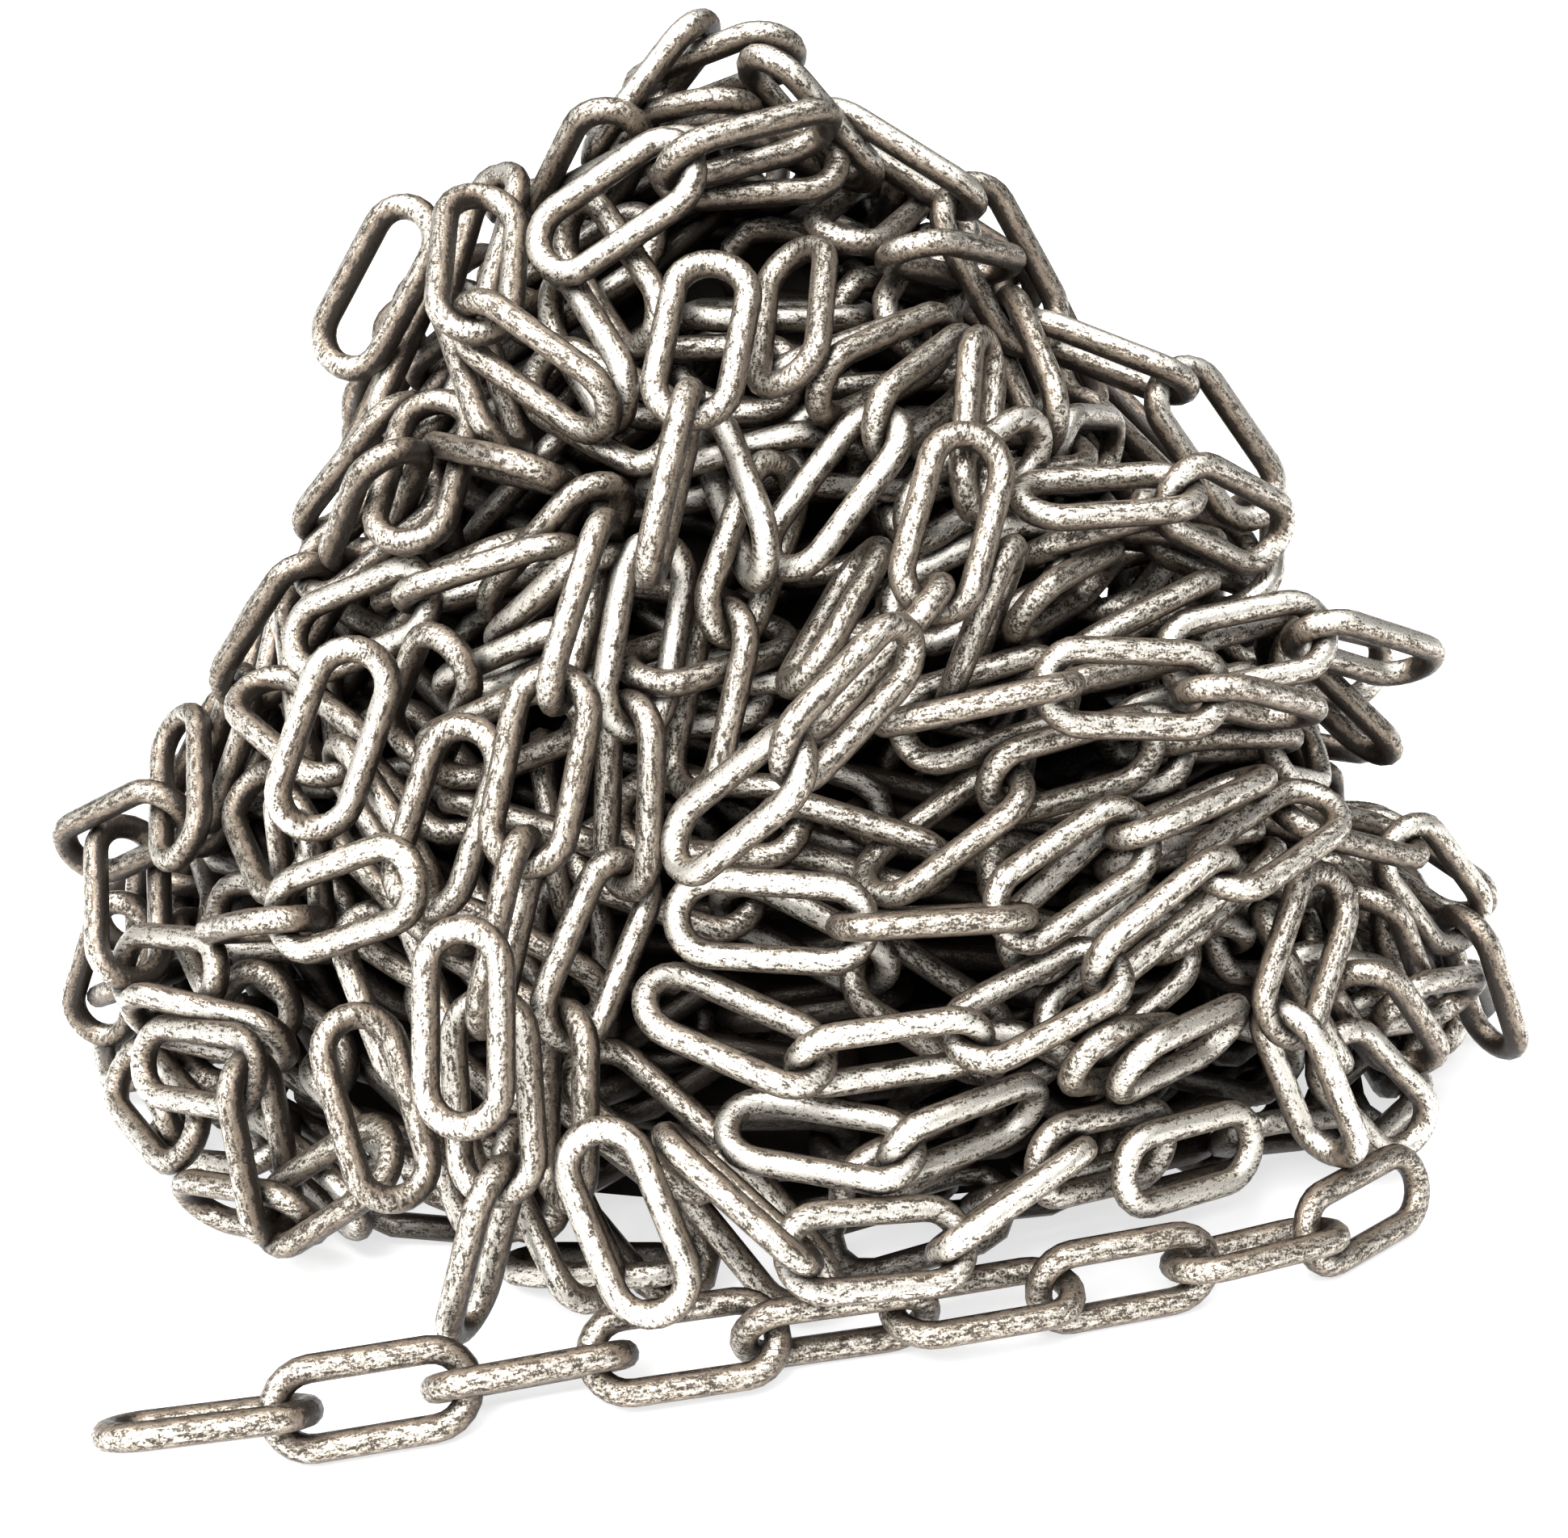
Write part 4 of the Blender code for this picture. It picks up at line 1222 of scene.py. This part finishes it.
def shade_by_neighbours(piece, links):
    """Writes how open and how deep each point is, for painted shade, how worn and lit it is, for wear with a
    painted highlight and painted shade, its place in its link, and the link's tone.
    """
    mesh = piece.data
    corners = read_points(mesh.vertices, "co") + ORIGIN
    normals = read_points(mesh.vertices, "normal")
    numbers = read_points(mesh.attributes["link_number"].data, "value", 1, np.int32)[:, 0]
    depth, out = heap_distance(corners)
    frames = links.frames[numbers]
    place = np.einsum("vij,vj->vi", frames, corners - links.middles[numbers])
    bend_middles = np.column_stack([np.clip(place[:, 0], -END_REACH, END_REACH), np.zeros(len(place))])
    spoke = place[:, :2] - bend_middles
    spoke = spoke / np.maximum(np.linalg.norm(spoke, axis=1), 1e-9)[:, None]
    wire_way = frames[:, 0] * -spoke[:, 1:] + frames[:, 1] * spoke[:, :1]
    # The worn side leans to the left, as the light does: a painted highlight goes there, and painted shade
    # on the side away.
    wear_and_light_way = square_to(unit(out + WEAR_AND_LIGHT_LEAN), wire_way)
    wear_and_light_way = wear_and_light_way / np.maximum(np.linalg.norm(wear_and_light_way, axis=1), LEAST_WORN_AND_LIT)[:, None]
    tones = np.random.default_rng(TONE_SEED).uniform(0, 1, len(links.middles))
    tones[links.groups == TAIL] *= TAIL_TONE
    # Openness and depth give the painted shade near other links and deep in the heap.
    for name, values in (
        ("openness", clear_share(corners, numbers, links)),
        ("depth", np.clip(-depth / DARK_DEPTH, 0, 1)),
        ("wear_and_painted_light", (normals * wear_and_light_way).sum(axis=1)),
        ("tone", tones[numbers]),
    ):
        write_points(mesh, name, "FLOAT", "value", values)
    grain = place / [GRAIN_DRAWN_OUT, 1, 1] + numbers[:, None] * [0, LINK_WIDTH * 2, 0]
    write_points(mesh, "grain", "FLOAT_VECTOR", "vector", grain)
    for name in ("turned", "link_number"):
        if name in mesh.attributes:
            mesh.attributes.remove(mesh.attributes[name])


def make_shade(finish):
    """The dark behind the innermost links, the shape of the heap but smaller."""
    corners = []
    for ring in range(SHADE_RINGS + 1):
        level = ring / SHADE_RINGS * SHADE_UP_TO
        fall = (1 - level) ** HEAP_POWER
        z = SHADE_LIFT + (HEAP_HEIGHT - SHADE_BELOW_PEAK - SHADE_LIFT) * level
        for k in range(SHADE_SEGMENTS):
            angle = 2 * math.pi * k / SHADE_SEGMENTS
            x = (HEAP_HALF_WIDTH - SHADE_DEPTH) * fall * math.cos(angle) + HEAP_LEAN * z
            y = (HEAP_HALF_DEPTH - SHADE_DEPTH) * fall * math.sin(angle) + HEAP_BEHIND_TAIL
            corners.append(tuple(np.array([x, y, z]) - ORIGIN))
    faces = [tuple(range(SHADE_SEGMENTS))[::-1]]
    for ring in range(SHADE_RINGS):
        for k in range(SHADE_SEGMENTS):
            a, b = ring * SHADE_SEGMENTS + k, ring * SHADE_SEGMENTS + (k + 1) % SHADE_SEGMENTS
            faces.append((a, b, b + SHADE_SEGMENTS, a + SHADE_SEGMENTS))
    faces.append(tuple(SHADE_RINGS * SHADE_SEGMENTS + k for k in range(SHADE_SEGMENTS)))
    return add_surface("inner_shade", corners, faces, finish)


def make_floor():
    far = FLOOR_HALF
    corners = [(-far, -far, 0), (far, -far, 0), (far, far, 0), (-far, far, 0)]
    add_surface("floor", corners, [(0, 1, 2, 3)], pale_floor("pale_floor"))


def aim(thing, place, target):
    """Places a light or camera and turns it to look at a point."""
    away = unit(np.array(place, float) - np.array(target, float))
    side = unit(np.cross([0, 0, 1], away))
    turn = Matrix(np.column_stack([side, np.cross(away, side), away]).tolist()).to_4x4()
    thing.matrix_world = Matrix.Translation([float(value) for value in place]) @ turn


def make_light():
    """A soft lamp, and a room whose ceiling glows, so that round wire has a bright and a dark side."""
    lamp = bpy.data.lights.new("soft_lamp", "AREA")
    lamp.shape = "SQUARE"
    lamp.size = LIGHT_SIZE
    lamp.energy = LIGHT_POWER
    aim(add_object("soft_lamp", lamp), LIGHT_PLACE, LIGHT_TARGET)
    world = bpy.data.worlds.new("studio")
    world.use_nodes = True
    wiring = Wiring(world.node_tree)
    towards = wiring.nodes.new("ShaderNodeTexCoord").outputs["Generated"]
    height = wiring.nodes.new("ShaderNodeVectorMath")
    height.operation = "DOT_PRODUCT"
    height = wiring.fill(height, {0: towards, 1: ROOM_UP}, "Value")
    glow = wiring.span(height, *ROOM_EDGE, ROOM_DARK, ROOM_BRIGHT)
    wiring.fill(wiring.nodes["Background"], {"Color": WHITE, "Strength": glow})
    bpy.context.scene.world = world
    bpy.context.scene.view_settings.view_transform = "Standard"
    bpy.context.scene.view_settings.look = "None"


def make_camera():
    """A camera at the eye that the picture was drawn from."""
    camera = bpy.data.cameras.new("camera")
    camera.sensor_fit = "HORIZONTAL"
    camera.sensor_width = FILM_WIDTH
    camera.lens = FILM_WIDTH * EYE_FOCAL / PICTURE_WIDTH
    camera.shift_x = (PICTURE_WIDTH / 2 - EYE_COLUMN) / PICTURE_WIDTH
    camera.shift_y = (EYE_ROW - PICTURE_HEIGHT / 2) / PICTURE_WIDTH
    camera.clip_start, camera.clip_end = CAMERA_SEES
    thing = add_object("camera", camera)
    aim(thing, EYE - ORIGIN, EYE - ORIGIN + EYE_AHEAD)
    bpy.context.scene.camera = thing


def make_pieces(links):
    """The links as five pieces: the trailing ones, the front's left and right, the back and the inside."""
    tree = link_tree()
    fine, plain = oval_path("fine_oval", FINE_BENDS, True), oval_path("plain_oval", PLAIN_BENDS, False)
    # One material for all links: wear, rust and pits, with a painted highlight and painted shade.
    iron = iron_with_painted_light("pitted_iron_with_painted_light")
    middles = links.middles - ORIGIN
    trailing, inside = links.groups == TAIL, links.groups == INSIDE
    in_front = middles[:, 1] < FRONT_TO
    front, back = ~inside & ~trailing & in_front, ~inside & ~trailing & ~in_front
    on_left = middles[:, 0] < 0
    strands = sorted(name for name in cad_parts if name.startswith("strand"))
    back_nodes = [name for name in strands if "back" in name]
    left_nodes = [name for name in strands if name not in back_nodes and solid_middle(name)[0] < 0]
    right_nodes = [name for name in strands if name not in back_nodes + left_nodes]
    tail_nodes = sorted(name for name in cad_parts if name.startswith("tail"))
    for name, chosen, oval, sides, slot, replaced in (
        ("trailing_links", trailing, fine, FINE_SIDES, "tail_iron", tail_nodes),
        ("front_left_links", front & on_left, fine, FINE_SIDES, "heap_iron", left_nodes),
        ("front_right_links", front & ~on_left, fine, FINE_SIDES, "heap_iron", right_nodes),
        ("back_links", back, fine, PLAIN_SIDES, "heap_iron", back_nodes),
        ("inner_links", inside, plain, PLAIN_SIDES, "heap_iron", []),
    ):
        piece = make_links(name, tree, links, np.nonzero(chosen)[0], oval, sides, iron)
        shade_by_neighbours(piece, links)
        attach(piece, "root")
        if replaced:
            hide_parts(*replaced)


def main():
    make_pieces(lay_links())
    shade = make_shade(dark_inside("dark_inside"))
    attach(shade, "root")
    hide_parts("heap_core")
    make_floor()
    make_light()
    make_camera()


main()
